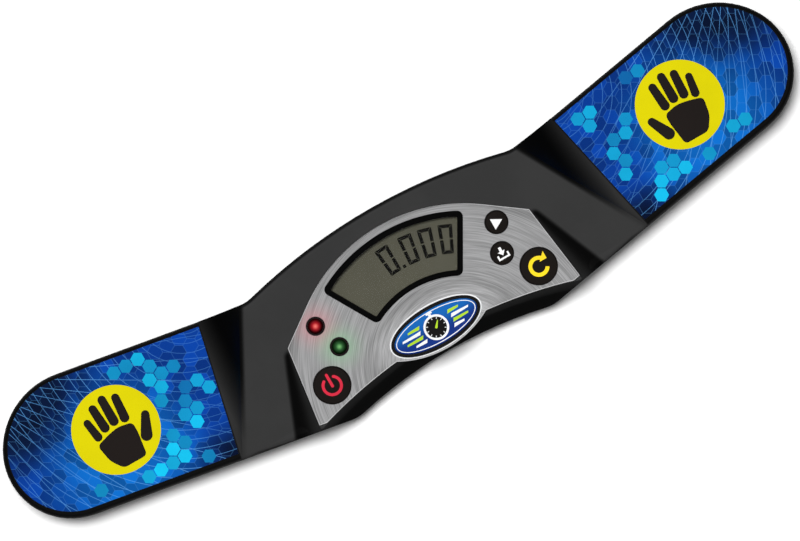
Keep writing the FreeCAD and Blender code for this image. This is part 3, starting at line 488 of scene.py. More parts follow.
# Meshes
def place_piece(name, mesh, material, body="case", turn=console_turn, slot=None):
    """Link a finished mesh as a piece that rides on a body."""
    if turn is not None:
        mesh.transform(turn)
    if not mesh.materials:
        mesh.materials.append(material)
    piece = bpy.data.objects.new(name, mesh)
    bpy.context.scene.collection.objects.link(piece)
    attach(piece, body)


def ink_mesh(name, outlines, surface, thickness=PRINT, pitch=None):
    """Thin closed layer over plan outlines, an inner outline being a hole.

    It lies on a surface, given as a height or as a function of a point of the plan.
    """
    height_at = surface if callable(surface) else lambda x, y: surface
    shape = bmesh.new()
    for outline in outlines:
        corners = [shape.verts.new((x, y, 0.0)) for x, y in outline]
        for first, second in zip(corners, corners[1:] + corners[:1]):
            shape.edges.new((first, second))
    bmesh.ops.triangle_fill(shape, use_beauty=True, use_dissolve=False, edges=shape.edges[:])
    for axis in (Vector((1, 0, 0)), Vector((0, 1, 0))) if pitch else ():
        reach = [v.co.dot(axis) for v in shape.verts]
        at = math.ceil(min(reach) / pitch) * pitch
        while at < max(reach):
            everything = shape.verts[:] + shape.edges[:] + shape.faces[:]
            bmesh.ops.bisect_plane(shape, geom=everything, plane_co=axis * at, plane_no=axis, dist=1e-8)
            at += pitch
    for face in shape.faces:
        if face.normal.z < 0:
            face.normal_flip()
    shape.verts.index_update()
    base = [(v.co.x, v.co.y, height_at(v.co.x, v.co.y)) for v in shape.verts]
    points = [(x, y, z + rise) for rise in (-SINK, thickness) for x, y, z in base]
    count = len(base)
    faces = []
    for face in shape.faces:
        ring = [v.index for v in face.verts]
        faces += [[i + count for i in ring], ring[::-1]]
        for loop in face.loops:
            if loop.edge.is_boundary:
                start, end = loop.vert.index, loop.link_loop_next.vert.index
                faces.append([start, end, end + count, start + count])
    shape.free()
    mesh = bpy.data.meshes.new(name)
    mesh.from_pydata(points, [], faces)
    mesh.validate()
    return mesh


def print_piece(name, outlines, surface, ink, thickness=PRINT, pitch=None, **placing):
    """Lay ink over plan outlines, as a piece of its own."""
    place_piece(name, ink_mesh(name, outlines, surface, thickness, pitch), ink, **placing)


def arc(x, y, half_x, half_y, start, sweep, steps):
    turns = [start + sweep * i / steps for i in range(steps + 1)]
    return [(x + half_x * math.cos(a), y + half_y * math.sin(a)) for a in turns]


def ellipse(x, y, half_x, half_y, steps=120):
    return arc(x, y, half_x, half_y, 0.0, 2 * math.pi, steps)[:-1]


def circle(x, y, radius, steps=72):
    return ellipse(x, y, radius, radius, steps)


def band(x, y, radius, stroke, start, end, round_ends=True):
    """Outline of a stroke that follows an arc, with round or square ends."""
    half = stroke / 2
    points = []
    edges = ((radius + half, start, end, end), (radius - half, end, start, start + math.pi))
    for edge, near, far, cap in edges:
        points += arc(x, y, edge, edge, near, far - near, 48)
        if round_ends:
            tip_x, tip_y = x + radius * math.cos(far), y + radius * math.sin(far)
            points += arc(tip_x, tip_y, half, half, cap, math.pi, 8)[1:-1]
    return points


def capsule(x0, y0, x1, y1, start_radius, end_radius):
    """Outline round two circles, such as a finger."""
    along = math.atan2(y1 - y0, x1 - x0)
    lean = math.asin((start_radius - end_radius) / math.hypot(x1 - x0, y1 - y0))
    begin = along - math.pi / 2 + lean
    return (arc(x1, y1, end_radius, end_radius, begin, math.pi - 2 * lean, 14)
            + arc(x0, y0, start_radius, start_radius, begin + math.pi - 2 * lean, math.pi + 2 * lean, 14))


def offsets(x, y, *pairs):
    """Outline whose points are so many millimetres from a middle."""
    return [(x + dx * MM, y + dy * MM) for dx, dy in pairs]


def top_face(node, turn=Matrix()):
    """A flat node's top face, in its own axes or in turned ones."""
    shape = bmesh.new()
    shape.from_mesh(nodes[node].data)
    shape.transform(turn)
    bmesh.ops.remove_doubles(shape, verts=shape.verts[:], dist=TOUCH)
    top = max(v.co.z for v in shape.verts)
    lower = [f for f in shape.faces if any(v.co.z < top - TOUCH for v in f.verts)]
    bmesh.ops.delete(shape, geom=lower, context="FACES")
    bmesh.ops.delete(shape, geom=[v for v in shape.verts if not v.link_faces], context="VERTS")
    return shape


def outline_mesh(node):
    """Top face of a flat node as a mesh of its own."""
    shape = top_face(node)
    bmesh.ops.dissolve_limit(shape, angle_limit=1e-4, verts=shape.verts[:], edges=shape.edges[:])
    mesh = bpy.data.meshes.new(node + "_outline")
    shape.to_mesh(mesh)
    shape.free()
    return mesh


def widest_ring(shape):
    """Points of the widest boundary of a flat shape, with the shape on their left."""
    following = {loop.vert: loop.link_loop_next.vert
                 for face in shape.faces for loop in face.loops if loop.edge.is_boundary}
    rings = []
    while following:
        start, point = following.popitem()
        ring = [start.co.copy()]
        while point in following:
            ring.append(point.co.copy())
            point = following.pop(point)
        rings.append(ring)
    return max(rings, key=lambda ring: max(p.x for p in ring) - min(p.x for p in ring))


def plan_loop(node, inset):
    """Outline of a node's top face in the console's axes, drawn in a little, as a wire mesh."""
    shape = top_face(node, console_turn.inverted())
    ring = widest_ring(shape)
    shape.free()
    ring = [point for i, point in enumerate(ring) if (point - ring[i - 1]).length > 0.02 * MM]
    count = len(ring)
    points = []
    for i, point in enumerate(ring):
        before = (point - ring[i - 1]).normalized()
        after = (ring[(i + 1) % count] - point).normalized()
        inward = (Vector((-before.y, before.x, 0)) + Vector((-after.y, after.x, 0))).normalized()
        points.append(point + inward * inset - Vector((0, 0, inset)))
    mesh = bpy.data.meshes.new(node + "_loop")
    mesh.from_pydata(points, [(i, (i + 1) % count) for i in range(count)], [])
    return mesh


def grow_piece(name, mesh, tree, ink, values, **placing):
    """Run a geometry tree on a mesh with values by input name, and place the plain mesh it makes."""
    seedling = bpy.data.objects.new(name + "_seedling", mesh)
    bpy.context.scene.collection.objects.link(seedling)
    modifier = seedling.modifiers.new("grow", "NODES")
    modifier.node_group = tree
    sockets = {s.name: s.identifier for s in tree.interface.items_tree if s.in_out == "INPUT"}
    modifier[sockets["Ink"]] = ink
    for key, value in values.items():
        modifier[sockets[key]] = value
    graph = bpy.context.evaluated_depsgraph_get()
    made = bpy.data.meshes.new_from_object(seedling.evaluated_get(graph), preserve_all_data_layers=True,
                                           depsgraph=graph)
    made.name = name
    seedling.modifiers.remove(modifier)
    bpy.data.objects.remove(seedling)
    place_piece(name, made, ink, **placing)


def inked(tree, geometry, given):
    """What a tree made, realized and with its material."""
    real = add(tree, "GeometryNodeRealizeInstances", {0: geometry})
    return [add(tree, "GeometryNodeSetMaterial", {"Geometry": real, "Material": given["Ink"]})]


@grouped("GeometryNodeTree", "Digit Row",
         {"Digit": "Geometry", "Count": 4, "First": 0.0, "Second": 0.1, "Pitch": 0.1,
          "Centre": "Vector", "Ink": "Material"}, {"Digits": "Geometry"})
def digit_row_tree(tree, given):
    """One digit repeated along an arc: the first, then the rest at an even pitch."""
    line = add(tree, "GeometryNodeMeshLine",
               {"Count": given["Count"], "Offset": (0.0, 0.0, 0.0), "Start Location": given["Centre"]})
    index = add(tree, "GeometryNodeInputIndex")
    later = (index - 1.0) * given["Pitch"] + given["Second"]
    turn = (index > 0.5).mix(given["First"], later)
    digits = add(tree, "GeometryNodeInstanceOnPoints",
                 {"Points": line, "Instance": given["Digit"], "Rotation": vector(0.0, 0.0, turn * -1.0)})
    return inked(tree, digits, given)


@grouped("GeometryNodeTree", "Dial Ticks",
         {"Start": "Geometry", "Count": 12, "Radius": 0.003, "Length": 0.0006, "Stroke": 0.0003,
          "Thickness": 0.00005, "Centre": "Vector", "Ink": "Material"}, {"Ticks": "Geometry"})
def tick_tree(tree, given):
    """Marks spaced evenly round a dial."""
    ring = add(tree, "GeometryNodeMeshCircle", {"Vertices": given["Count"], "Radius": given["Radius"]},
               fill_type="NONE")
    at = add(tree, "GeometryNodeInputPosition")
    turned = add(tree, "FunctionNodeAlignRotationToVector", {"Vector": at}, axis="X")
    size = vector(given["Length"], given["Stroke"], given["Thickness"])
    block = add(tree, "GeometryNodeMeshCube", {"Size": size})
    ticks = add(tree, "GeometryNodeInstanceOnPoints",
                {"Points": ring, "Instance": block, "Rotation": turned})
    moved = add(tree, "GeometryNodeTransform", {"Geometry": ticks, "Translation": given["Centre"]})
    return inked(tree, moved, given)


@grouped("GeometryNodeTree", "Lattice Tiles",
         {"Outline": "Geometry", "Pitch": 0.004, "Tile": 0.002, "Thickness": 0.00003, "Columns": 30,
          "Rows": 24, "Centre": "Vector", "Disc": "Vector", "Disc Radius": 0.015,
          "Bright Corner": "Vector", "Corner Reach": 0.03, "Chance": 0.1, "Corner Chance": 0.5,
          "Seed": 0, "Ink": "Material"}, {"Tiles": "Geometry"})
def tile_tree(tree, given):
    """Six-sided tiles on a lattice, inside an outline and clear of a disc."""
    pitch, tile, columns, rows = (given[key] for key in ("Pitch", "Tile", "Columns", "Rows"))
    grid = add(tree, "GeometryNodeMeshGrid",
               {"Size X": (columns - 1.0) * pitch, "Size Y": (rows - 1.0) * (pitch * (ROOT3 / 2)),
                "Vertices X": columns, "Vertices Y": rows})
    index = add(tree, "GeometryNodeInputIndex")
    odd = index.then("MODULO", rows).then("MODULO", 2.0)
    placed = add(tree, "GeometryNodeSetPosition",
                 {"Geometry": grid, "Offset": vector(odd * 0.5 * pitch) + given["Centre"]})
    points = add(tree, "GeometryNodeMeshToPoints", {"Mesh": placed})
    at = add(tree, "GeometryNodeInputPosition")
    inside = add(tree, "GeometryNodeRaycast",
                 {"Target Geometry": given["Outline"], "Source Position": at + (0.0, 0.0, 1.0 * MM),
                  "Ray Direction": (0.0, 0.0, -1.0), "Ray Length": 10.0 * MM})
    edge = add(tree, "GeometryNodeProximity", {0: given["Outline"]}, "Distance", target_element="EDGES")
    clear = (edge > tile) * (at.then("DISTANCE", given["Disc"]) > given["Disc Radius"] + tile)
    nearness = at.then("DISTANCE", given["Bright Corner"]).fade(0.0, given["Corner Reach"], 1.0, 0.0)

    def draw(seed):
        return add(tree, "FunctionNodeRandomValue", {"Min": 0.0, "Max": 1.0, "Seed": seed},
                   data_type="FLOAT")

    drawn = draw(given["Seed"]) < nearness * given["Corner Chance"] + given["Chance"]
    block = add(tree, "GeometryNodeMeshCylinder",
                {"Vertices": 6, "Radius": tile, "Depth": given["Thickness"]})
    turned = add(tree, "GeometryNodeTransform", {"Geometry": block, "Rotation": (0.0, 0.0, math.pi / 6)})
    tiles = add(tree, "GeometryNodeInstanceOnPoints",
                {"Points": points, "Instance": turned, "Selection": inside * clear * drawn})
    lit = nearness * 0.3 + draw(given["Seed"] + 1.0) * 0.7
    toned = add(tree, "GeometryNodeStoreNamedAttribute", {"Geometry": tiles, "Name": "lit", "Value": lit},
                data_type="FLOAT", domain="INSTANCE")
    return inked(tree, toned, given)


@grouped("GeometryNodeTree", "Bright Edge", {"Outline": "Geometry", "Size": 0.0002, "Ink": "Material"},
         {"Edge": "Geometry"})
def bevel_tree(tree, given):
    """Fine edge along the outline of a flat piece, made bright by the painted highlight of its ink."""
    line = add(tree, "GeometryNodeMeshToCurve", {"Mesh": given["Outline"]})
    profile = add(tree, "GeometryNodeCurvePrimitiveCircle", {"Resolution": 8, "Radius": given["Size"]})
    swept = add(tree, "GeometryNodeCurveToMesh", {"Curve": line, "Profile Curve": profile})
    return inked(tree, swept, given)


# Case
class TIMER_OT_dress_case(bpy.types.Operator):
    """Satin plastic of the two housings and the battery door"""
    bl_idname = "timer.dress_case"
    bl_label = "Case"

    def execute(self, context):
        settings = context.scene.timer_case
        grain = settings.grain / MM
        # The upper housing's colour carries painted shade in its ramps, facets and walls
        dress("upper_housing", moulded("case_plastic", settings.body, settings.roughness, 0.12, grain,
                                       depth=0.01, wear=0.4, shade=painted_recess_shade(settings)))
        dress("lower_housing battery_door", moulded("base_plastic", settings.base, settings.roughness,
                                                    0.2, grain, depth=0.02, wear=0.6))
        return {"FINISHED"}


# Console
def plate_finish(settings):
    """Brushed metal, with a painted highlight paler round the badge and the display, and painted lamp glow
    tinting it round the two lamps.
    """
    finish = Finish("plate_metal", 0.36, 0.4, Metallic=0.85)
    turned = finish.in_console()
    height, tone = finish.group(brushed_arcs(), Vector=turned, Centre=(settings.brush_x, settings.brush_y, 0),
                                Stroke_Scale=1.0 / settings.stroke, Stroke_Turn=1.9)
    badge = console_box("badge_frame")
    reach = badge[1] - badge[0]
    round_badge = ((turned - middle(badge)) * (2 / reach.x, 2 / reach.y, 0.0)).then("LENGTH")
    arc_y = console_box("display_bezel")[1].y - settings.arc_radius
    off_arc = abs((turned * (1.0, 1.0, 0.0)).then("DISTANCE", (0.0, arc_y, 0.0)) - 43.5 * MM)
    # Painted highlight: paler plate round the badge and along the display's arc
    pale = round_badge.fade(1.0, 1.75, 0.8, 0.0)
    pale = pale.then("MAXIMUM", off_arc.fade(10.0 * MM, 14.5 * MM, 0.38, 0.0))
    shade = finish.toned(pale.mix(settings.metal, settings.pale, "RGBA"), tone)
    top = console_box("console_plate")[1].z
    # Painted light: the red and green lamps' glow tinted into the plate round them
    lamps = (("red_lamp", settings.painted_red_glow, 0.95), ("green_lamp", settings.painted_green_glow, 0.9))
    for lamp, painted_lamp_glow, amount in lamps:
        spot = (*middle(console_box(lamp)).xy, top)
        mask = finish.group(painted_glow_spot(), Vector=turned, Centre=spot, Reach=settings.painted_glow_reach)[0]
        shade = (mask * amount).mix(shade, painted_lamp_glow, "RGBA")
    finish.set("Base Color", shade)
    finish.bump(height, 0.006 * MM)
    return finish.material


class TIMER_OT_dress_console(bpy.types.Operator):
    """Brushed plate and gloss bezel of the console"""
    bl_idname = "timer.dress_console"
    bl_label = "Console"

    def execute(self, context):
        settings = context.scene.timer_console
        dress("console_plate", plate_finish(settings))
        # A real rounded edge round the plate, coloured paler than the plate as a painted highlight
        edge = moulded("plate_edge_highlight", settings.edge, 0.3, depth=0.001, wear=0.3, Metallic=0.6)
        grow_piece("plate_bevel", plan_loop("console_plate", settings.bevel * 0.6), bevel_tree(), edge,
                   {"Size": settings.bevel}, slot="plate_metal")
        dress("display_bezel", moulded("bezel_gloss", (0.0009, 0.0009, 0.0009), 0.22, 0.02, grain=0.6,
                                       wear=0.8, Coat_Weight=0.02, Coat_Roughness=0.05))
        return {"FINISHED"}


# Display
def window_finish():
    finish = Finish("window_clear", 0.08, Base_Color=(0.02, 0.02, 0.018), IOR=1.49)
    finish.set("Alpha", finish.grained(900.0, 1.0)[1].fade(0.85, 1.15, 0.05, 0.09))
    return finish.material


def glass_finish(settings):
    """Matt film of the display, with painted shade making it a little darker towards its rear."""
    finish = Finish("lcd_glass", 0.55, 0.25)
    height, tone = finish.grained(1200.0, 0.25)[:2]
    low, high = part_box("lcd_panel")
    # Painted shade: the film darker towards the rear, under the bezel
    darker = finish.place.xyz[1].fade(low.y, high.y, 1.04, 0.92)
    finish.set("Base Color", finish.toned(settings.glass, tone * darker))
    finish.bump(height, 0.001 * MM)
    return finish.material


def digit_segments(settings):
    """Mitred outlines of the six lit segments of a zero, drawn from the display arc's centre."""
    stroke, low, high = settings.stroke, settings.inner_radius, settings.outer_radius
    lean = math.tan(settings.half_angle)
    end_gap, middle_gap = settings.gap * 0.7, settings.gap * 1.7

    def bend(side, y, rise):
        """Outer and inner corner of the digit's frame."""
        return (Vector((side * y * lean, y)),
                Vector((side * ((y + rise) * lean - stroke), y + rise)))

    left, right = ([bend(side, low, stroke), bend(side, (low + high) / 2, 0.0), bend(side, high, -stroke)]
                   for side in (-1, 1))
    runs = [(left[end], right[end], end_gap) for end in (0, 2)]
    runs += [(post[end], post[1], middle_gap) for post in (left, right) for end in (0, 2)]
    segments = []
    for start, end, cut in runs:
        ways = [(far - near).normalized() for near, far in zip(start, end)]
        starts = [near + way * end_gap for near, way in zip(start, ways)]
        ends = [far - way * cut for far, way in zip(end, ways)]
        segments.append([tuple(point) for point in (starts[0], ends[0], ends[1], starts[1])])
    return segments


class TIMER_OT_dress_display(bpy.types.Operator):
    """Display glass, its window and the digits"""
    bl_idname = "timer.dress_display"
    bl_label = "Display"

    def execute(self, context):
        settings = context.scene.timer_display
        dress("display_window", window_finish())
        dress("lcd_panel", glass_finish(settings))
        ink = moulded("digit_ink", settings.ink, 0.5, 0.05, wear=0.3)
        centre_y = console_box("display_bezel")[1].y - context.scene.timer_console.arc_radius
        top = console_box("lcd_panel")[1].z
        grow_piece("lcd_digits", ink_mesh("digit", digit_segments(settings), 0.0), digit_row_tree(), ink,
                   {"Count": 4, "First": settings.first_angle, "Second": settings.second_angle,
                    "Pitch": settings.pitch, "Centre": (0.0, centre_y, top)}, slot="lcd_glass")
        half = settings.point_size / 2
        radius = settings.inner_radius + half
        x, y = radius * math.sin(settings.point_angle), centre_y + radius * math.cos(settings.point_angle)
        point = [(x - half, y - half), (x + half, y - half), (x + half, y + half), (x - half, y + half)]
        print_piece("lcd_point", [point], top, ink, slot="lcd_glass")
        return {"FINISHED"}


# Buttons
def dome_height(node, cap_radius, rise):
    """Height of a button's domed top over a point of its plan, and the middle of the plan."""
    box = console_box(node)
    x, y = middle(box).xy
    ball = (cap_radius ** 2 + rise ** 2) / (2 * rise)

    def height_at(px, py):
        return box[1].z - ball + math.sqrt(ball ** 2 - (px - x) ** 2 - (py - y) ** 2)

    return height_at, x, y


def power_mark(x, y, settings):
    ring = band(x, y, settings.ring_radius, settings.ring_stroke, math.pi / 2 + settings.ring_gap,
                math.pi * 5 / 2 - settings.ring_gap)
    half = settings.ring_stroke / 2
    return [ring, capsule(x, y - 0.2 * MM, x, y + settings.ring_radius + 0.9 * MM, half, half)]


def reset_mark(x, y, settings):
    """Open ring that ends in an arrow head at its upper right."""
    ring = band(x, y, settings.arrow_radius, settings.arrow_stroke, math.radians(38.0) + 0.12,
                2 * math.pi - math.radians(30.0), round_ends=False)
    return [ring, offsets(x, y, (0.9, 1.15), (3.6, 1.15), (3.6, 3.85))]


def recall_mark(x, y, settings):
    return [offsets(x, y, (-1.45, -2.0), (2.15, 0.0), (-1.45, 2.0))]


def save_mark(x, y, settings):
    """Arrow that points down into a tray."""
    return [offsets(x, y, (-0.46, 2.2), (-0.46, 0.75), (-1.3, 0.75), (0.0, -0.75), (1.3, 0.75),
                    (0.46, 0.75), (0.46, 2.2)),
            offsets(x, y, (-2.1, -0.2), (-2.1, -1.95), (2.1, -1.95), (2.1, -0.2), (1.48, -0.2),
                    (1.48, -1.33), (-1.48, -1.33), (-1.48, -0.2))]


class TIMER_OT_dress_buttons(bpy.types.Operator):
    """Caps of the four buttons and the marks printed on them"""
    bl_idname = "timer.dress_buttons"
    bl_label = "Buttons"

    def execute(self, context):
        settings = context.scene.timer_buttons
        dress("power_button reset_button recall_button save_button",
              moulded("button_black", settings.cap, 0.4, 0.1, depth=0.008, wear=0.8))
        red, yellow, white = (moulded("mark_" + name, getattr(settings, name), roughness, grain=0.15)
                              for name, roughness in (("red", 0.4), ("yellow", 0.4), ("white", 0.45)))
        large, small, rise = 6.15 * MM, 3.75 * MM, 0.3 * MM
        marks = (("power", large, red, power_mark), ("reset", large, yellow, reset_mark),
                 ("recall", small, white, recall_mark), ("save", small, white, save_mark))
        for name, radius, ink, mark in marks:
            height_at, x, y = dome_height(name + "_button", radius, rise)
            for letter, shape in zip("ab", mark(x, y, settings)):
                print_piece(name + "_mark_" + letter, [shape], height_at, ink, pitch=0.6 * MM,
                            body=name + "_button")
        return {"FINISHED"}


# Lamps
def lamp_finish(name, node, rim, body, core):
    """Lit lens: pale in the middle, deep at the rim."""
    finish = Finish(name, 0.25, 0.2, Emission_Strength=0.35)
    far = (finish.in_console() * (1.0, 1.0, 0.0)).then("DISTANCE", (*middle(console_box(node)).xy, 0.0))
    shade = far.fade(0.8 * MM, 2.25 * MM, 1.0, 0.0).mix(rim, body, "RGBA")
    shade = far.fade(0.0, 1.25 * MM, 1.0, 0.0).mix(shade, core, "RGBA")
    finish.set("Base Color", shade)
    finish.set("Emission Color", shade)
    return finish.material


class TIMER_OT_dress_lamps(bpy.types.Operator):
    """Lit red and green lamps and their collars"""
    bl_idname = "timer.dress_lamps"
    bl_label = "Lamps"

    def execute(self, context):
        dress("red_lamp", lamp_finish("lamp_red", "red_lamp", (0.022, 0.0015, 0.002), (0.28, 0.006, 0.012),
                                      (0.60, 0.11, 0.095)))
        dress("green_lamp", lamp_finish("lamp_green", "green_lamp", (0.004, 0.014, 0.004),
                                        (0.018, 0.078, 0.022), (0.11, 0.30, 0.10)))
        dress("lamp_collars", moulded("collar_black", (0.008, 0.004, 0.004), 0.35, 0.15, depth=0.004))
        return {"FINISHED"}


# Badge
def field_finish(settings):
    """Blue field with a painted sheen across it, painted shade darkening it towards the front, under a clear
    dome.
    """
    finish = Finish("badge_blue", 0.3, 0.12, Coat_Weight=0.1, Coat_Roughness=0.06)
    low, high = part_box("badge_inlay")
    # Painted sheen and shade: lighter towards the rear, darker towards the front, with soft patches
    painted_light_level = noise(finish.place, 60.0) * 0.5 + finish.place.xyz[1].fade(low.y, high.y)
    finish.set("Base Color", painted_light_level.fade(0.45, 1.15).mix(settings.painted_shade_blue, settings.blue, "RGBA"))
    return finish.material


class TIMER_OT_dress_badge(bpy.types.Operator):
    """Domed badge with a pictured stopwatch between bars"""
    bl_idname = "timer.dress_badge"
    bl_label = "Badge"

    def execute(self, context):
        settings = context.scene.timer_badge
        dress("badge_frame", moulded("badge_black", settings.rim, 0.3, 0.15, grain=0.4, wear=0.6))
        dress("badge_inlay", field_finish(settings))
        white = moulded("badge_white", settings.white, 0.35, grain=0.15)
        green = moulded("badge_green", settings.green, 0.35, grain=0.15)
        black = moulded("badge_ink", settings.rim, 0.3, 0.1, grain=0.15)
        x, y = middle(console_box("badge_frame")).xy
        top = console_box("badge_inlay")[1].z

        def ring(node, outward, inward):
            """Outline of a line that follows an oval node's edge."""
            low, high = console_box(node)
            half = (high - low) / 2
            return [ellipse(x, y, half.x + by, half.y + by) for by in (outward, -inward)]

        def lay(name, outlines, ink, layers=1):
            print_piece(name, outlines, top, ink, PRINT * layers, slot="badge_blue")

        print_piece("badge_keyline", ring("badge_frame", settings.keyline, settings.keyline),
                    console_box("console_plate")[1].z, white, 0.1 * MM)
        lay("badge_line", ring("badge_inlay", -0.55 * MM, 0.83 * MM), white)
        dial, dial_y = settings.dial_radius, y - 0.3 * MM
        face = circle(x, dial_y, dial - 0.75 * MM)
        lay("dial_rim", [circle(x, dial_y, dial), face], white)
        lay("dial_face", [face], black)
        lay("dial_crown", [offsets(x, dial_y + dial, (-half, low), (half, low), (half, high), (-half, high))
                           for half, low, high in ((0.5, -0.1, 0.55), (1.1, 0.6, 1.15))], white)
        lay("dial_hand", [capsule(x, dial_y, x + 1.45 * MM, y + 1.5 * MM, 0.42 * MM, 0.16 * MM)], green, 2)
        grow_piece("dial_ticks", bpy.data.meshes.new("dial_start"), tick_tree(), white,
                   {"Count": settings.ticks, "Radius": dial - 1.2 * MM, "Length": 0.6 * MM,
                    "Stroke": 0.22 * MM, "Thickness": 3 * PRINT, "Centre": (x, dial_y, top + PRINT)},
                   slot="badge_blue")
        bars = ((1.775, 5.4, 9.6, green), (0.075, 5.9, 12.5, white),
                (-1.625, 5.8, 11.6, green), (-3.325, 5.2, 9.2, white))
        for side, word in ((-1, "left"), (1, "right")):
            for number, (foot, near, far, ink) in enumerate(bars):
                near, far = side * near, side * far
                lay("bar_%s_%d" % (word, number),
                    [offsets(x, y, (near, foot), (far, foot + 0.25), (far + 0.35, foot + 0.9),
                             (near + 0.7, foot + 1.15))], ink)
        return {"FINISHED"}


# Pads
def film_finish(settings):
    """Printed film: a lit band between dark corners, with cells and rings of thin lines."""
    finish = Finish("pad_film", 0.4, 0.08)
    x, y = finish.place.xyz[:2]
    mirrored = vector(abs(x), y)
    wave = (noise(mirrored, 42.0, 3.0) - 0.5) * (16.0 * MM)
    shade = settings.deep
    for tint, corner_x, corner_y, near, far in ((settings.bright, 112.0, -4.0, 10.0, 34.0),
                                                (settings.dark, 136.0, 34.0, 16.0, 34.0),
                                                (settings.dark, 74.0, -24.0, 5.0, 22.0)):
        reach = mirrored.then("DISTANCE", (corner_x * MM, corner_y * MM, 0.0)) + wave
        shade = reach.fade(near * MM, far * MM, 1.0, 0.0).mix(shade, tint, "RGBA")
    edge, cell = finish.group(honeycomb(), Vector=mirrored - (settings.disc_x, settings.disc_y, 0.0),
                              Pitch=settings.pitch)
    shade = finish.toned(shade, cell.fade(0.0, 1.0, 0.68, 1.38))
    rings = mirrored.then("DISTANCE", (70.0 * MM, 30.0 * MM, 0.0)).then("PINGPONG", 1.6 * MM)
    fan = mirrored - (150.0 * MM, 48.0 * MM, 0.0)
    fan_x, fan_y = fan.xyz[:2]
    spokes = fan_y.then("ARCTAN2", fan_x).then("PINGPONG", 0.045) * fan.then("LENGTH")
    spokes = spokes.fade(0.04 * MM, 0.15 * MM, 1.0, 0.0)
    lines = rings.fade(0.04 * MM, 0.14 * MM, 1.0, 0.0).then("MAXIMUM", spokes)
    lines = lines * noise(mirrored, 30.0).fade(0.35, 0.65, 0.24, 0.66)
    lines = lines.then("MAXIMUM", edge.fade(0.010, 0.030, 1.0, 0.0) * 0.16)
    finish.set("Base Color", lines.mix(shade, settings.line, "RGBA"))
    return finish.material


def tile_finish(settings):
    """Tile ink, brighter on some tiles than on others."""
    finish = Finish("tile_ink", 0.4, 0.08)
    lit = add(finish.tree, "ShaderNodeAttribute", output="Fac", attribute_name="lit")
    shade = lit.mix(settings.tile_low, settings.tile_high, "RGBA")
    finish.set("Base Color", finish.toned(shade, finish.grained(5000.0, 0.6)[1]))
    return finish.material


def rounded(corners, radius, steps=6):
    """Outline through corners, each cut by an arc-like bend of a given size."""
    points = []
    for i, corner in enumerate(corners):
        here = Vector(corner)
        before = (Vector(corners[i - 1]) - here).normalized() * radius
        after = (Vector(corners[(i + 1) % len(corners)]) - here).normalized() * radius
        points += [tuple(here + before * (1 - t) ** 2 + after * t ** 2)
                   for t in (step / steps for step in range(steps + 1))]
    return points


def hand_outlines(x, y, height, side):
    """Open hand seen from above: four fingers, a thumb and a palm kept apart."""
    unit = height / 25.0

    def at(px, py):
        return x + side * px * unit, y + py * unit

    fingers = [(-6.4, 0.8, -7.3, 6.6, 1.45, 1.25), (-2.9, 2.4, -3.4, 9.8, 1.6, 1.4),
               (0.8, 2.9, 0.8, 11.0, 1.65, 1.45), (4.5, 2.1, 5.1, 9.4, 1.6, 1.4),
               (8.0, -6.6, 11.0, -0.4, 2.0, 1.4)]
    shapes = [capsule(*at(x0, y0), *at(x1, y1), r0 * unit, r1 * unit) for x0, y0, x1, y1, r0, r1 in fingers]
    palm = [(-8.0, -1.7), (-3.0, -0.2), (0.9, 0.5), (6.0, -0.5), (6.0, -4.6), (5.4, -8.4), (4.9, -12.4),
            (-3.9, -12.4), (-6.9, -8.0)]
    return shapes + [rounded([at(*corner) for corner in palm], 1.6 * unit)]


class TIMER_OT_dress_pads(bpy.types.Operator):
    """Printed film of the touch pads, with tiles, hand discs and hands"""
    bl_idname = "timer.dress_pads"
    bl_label = "Touch Pads"

    def execute(self, context):
        settings = context.scene.timer_pads
        dress("left_touch_pad right_touch_pad", film_finish(settings))
        ink = tile_finish(settings)
        disc_ink = moulded("disc_yellow", settings.disc, 0.42, 0.08, wear=0.2)
        hand_ink = moulded("hand_black", settings.hand, 0.42, 0.08)
        pitch = settings.pitch
        for side, name in ((-1, "left"), (1, "right")):
            low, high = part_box(name + "_touch_pad")
            x, y = side * settings.disc_x + settings.disc_shift, settings.disc_y
            grow_piece(name + "_pad_tiles", outline_mesh(name + "_touch_pad"), tile_tree(), ink, {
                "Pitch": pitch, "Tile": pitch * 0.54, "Thickness": 2 * PRINT,
                "Columns": math.ceil((high.x - low.x) / pitch) + 2,
                "Rows": math.ceil((high.y - low.y) / (pitch * ROOT3 / 2)) + 2,
                "Centre": (*middle((low, high)).xy, high.z), "Disc": (x, y, high.z),
                "Disc Radius": settings.disc_radius,
                "Bright Corner": (side * 104.0 * MM, -18.0 * MM, high.z), "Corner Reach": 42.0 * MM,
                "Chance": 0.25, "Corner Chance": 0.66, "Seed": settings.seed + side + 1},
                turn=None, slot="pad_film")
            print_piece(name + "_hand_disc", [circle(x, y, settings.disc_radius, 128)], high.z, disc_ink,
                        turn=None)
            print_piece(name + "_hand", hand_outlines(x, y, settings.hand_height, -side), high.z, hand_ink,
                        2 * PRINT, turn=None)
        return {"FINISHED"}


# Inside and underside
def board_finish():
    """Green board with faint tracks under its lacquer."""
    finish = Finish("board_green", 0.3, Coat_Weight=0.4, Coat_Roughness=0.1)
    tracks = add(finish.tree, "ShaderNodeTexBrick",
                 {"Vector": finish.place, "Scale": 170.0, "Mortar Size": 0.06, "Mortar": (0.05, 0.27, 0.10),
                  "Color1": (0.012, 0.13, 0.05), "Color2": (0.016, 0.16, 0.06)})
    finish.set("Base Color", tracks)
    finish.bump(Wire(tracks.socket.node.outputs["Fac"]), 0.02 * MM)
    return finish.material


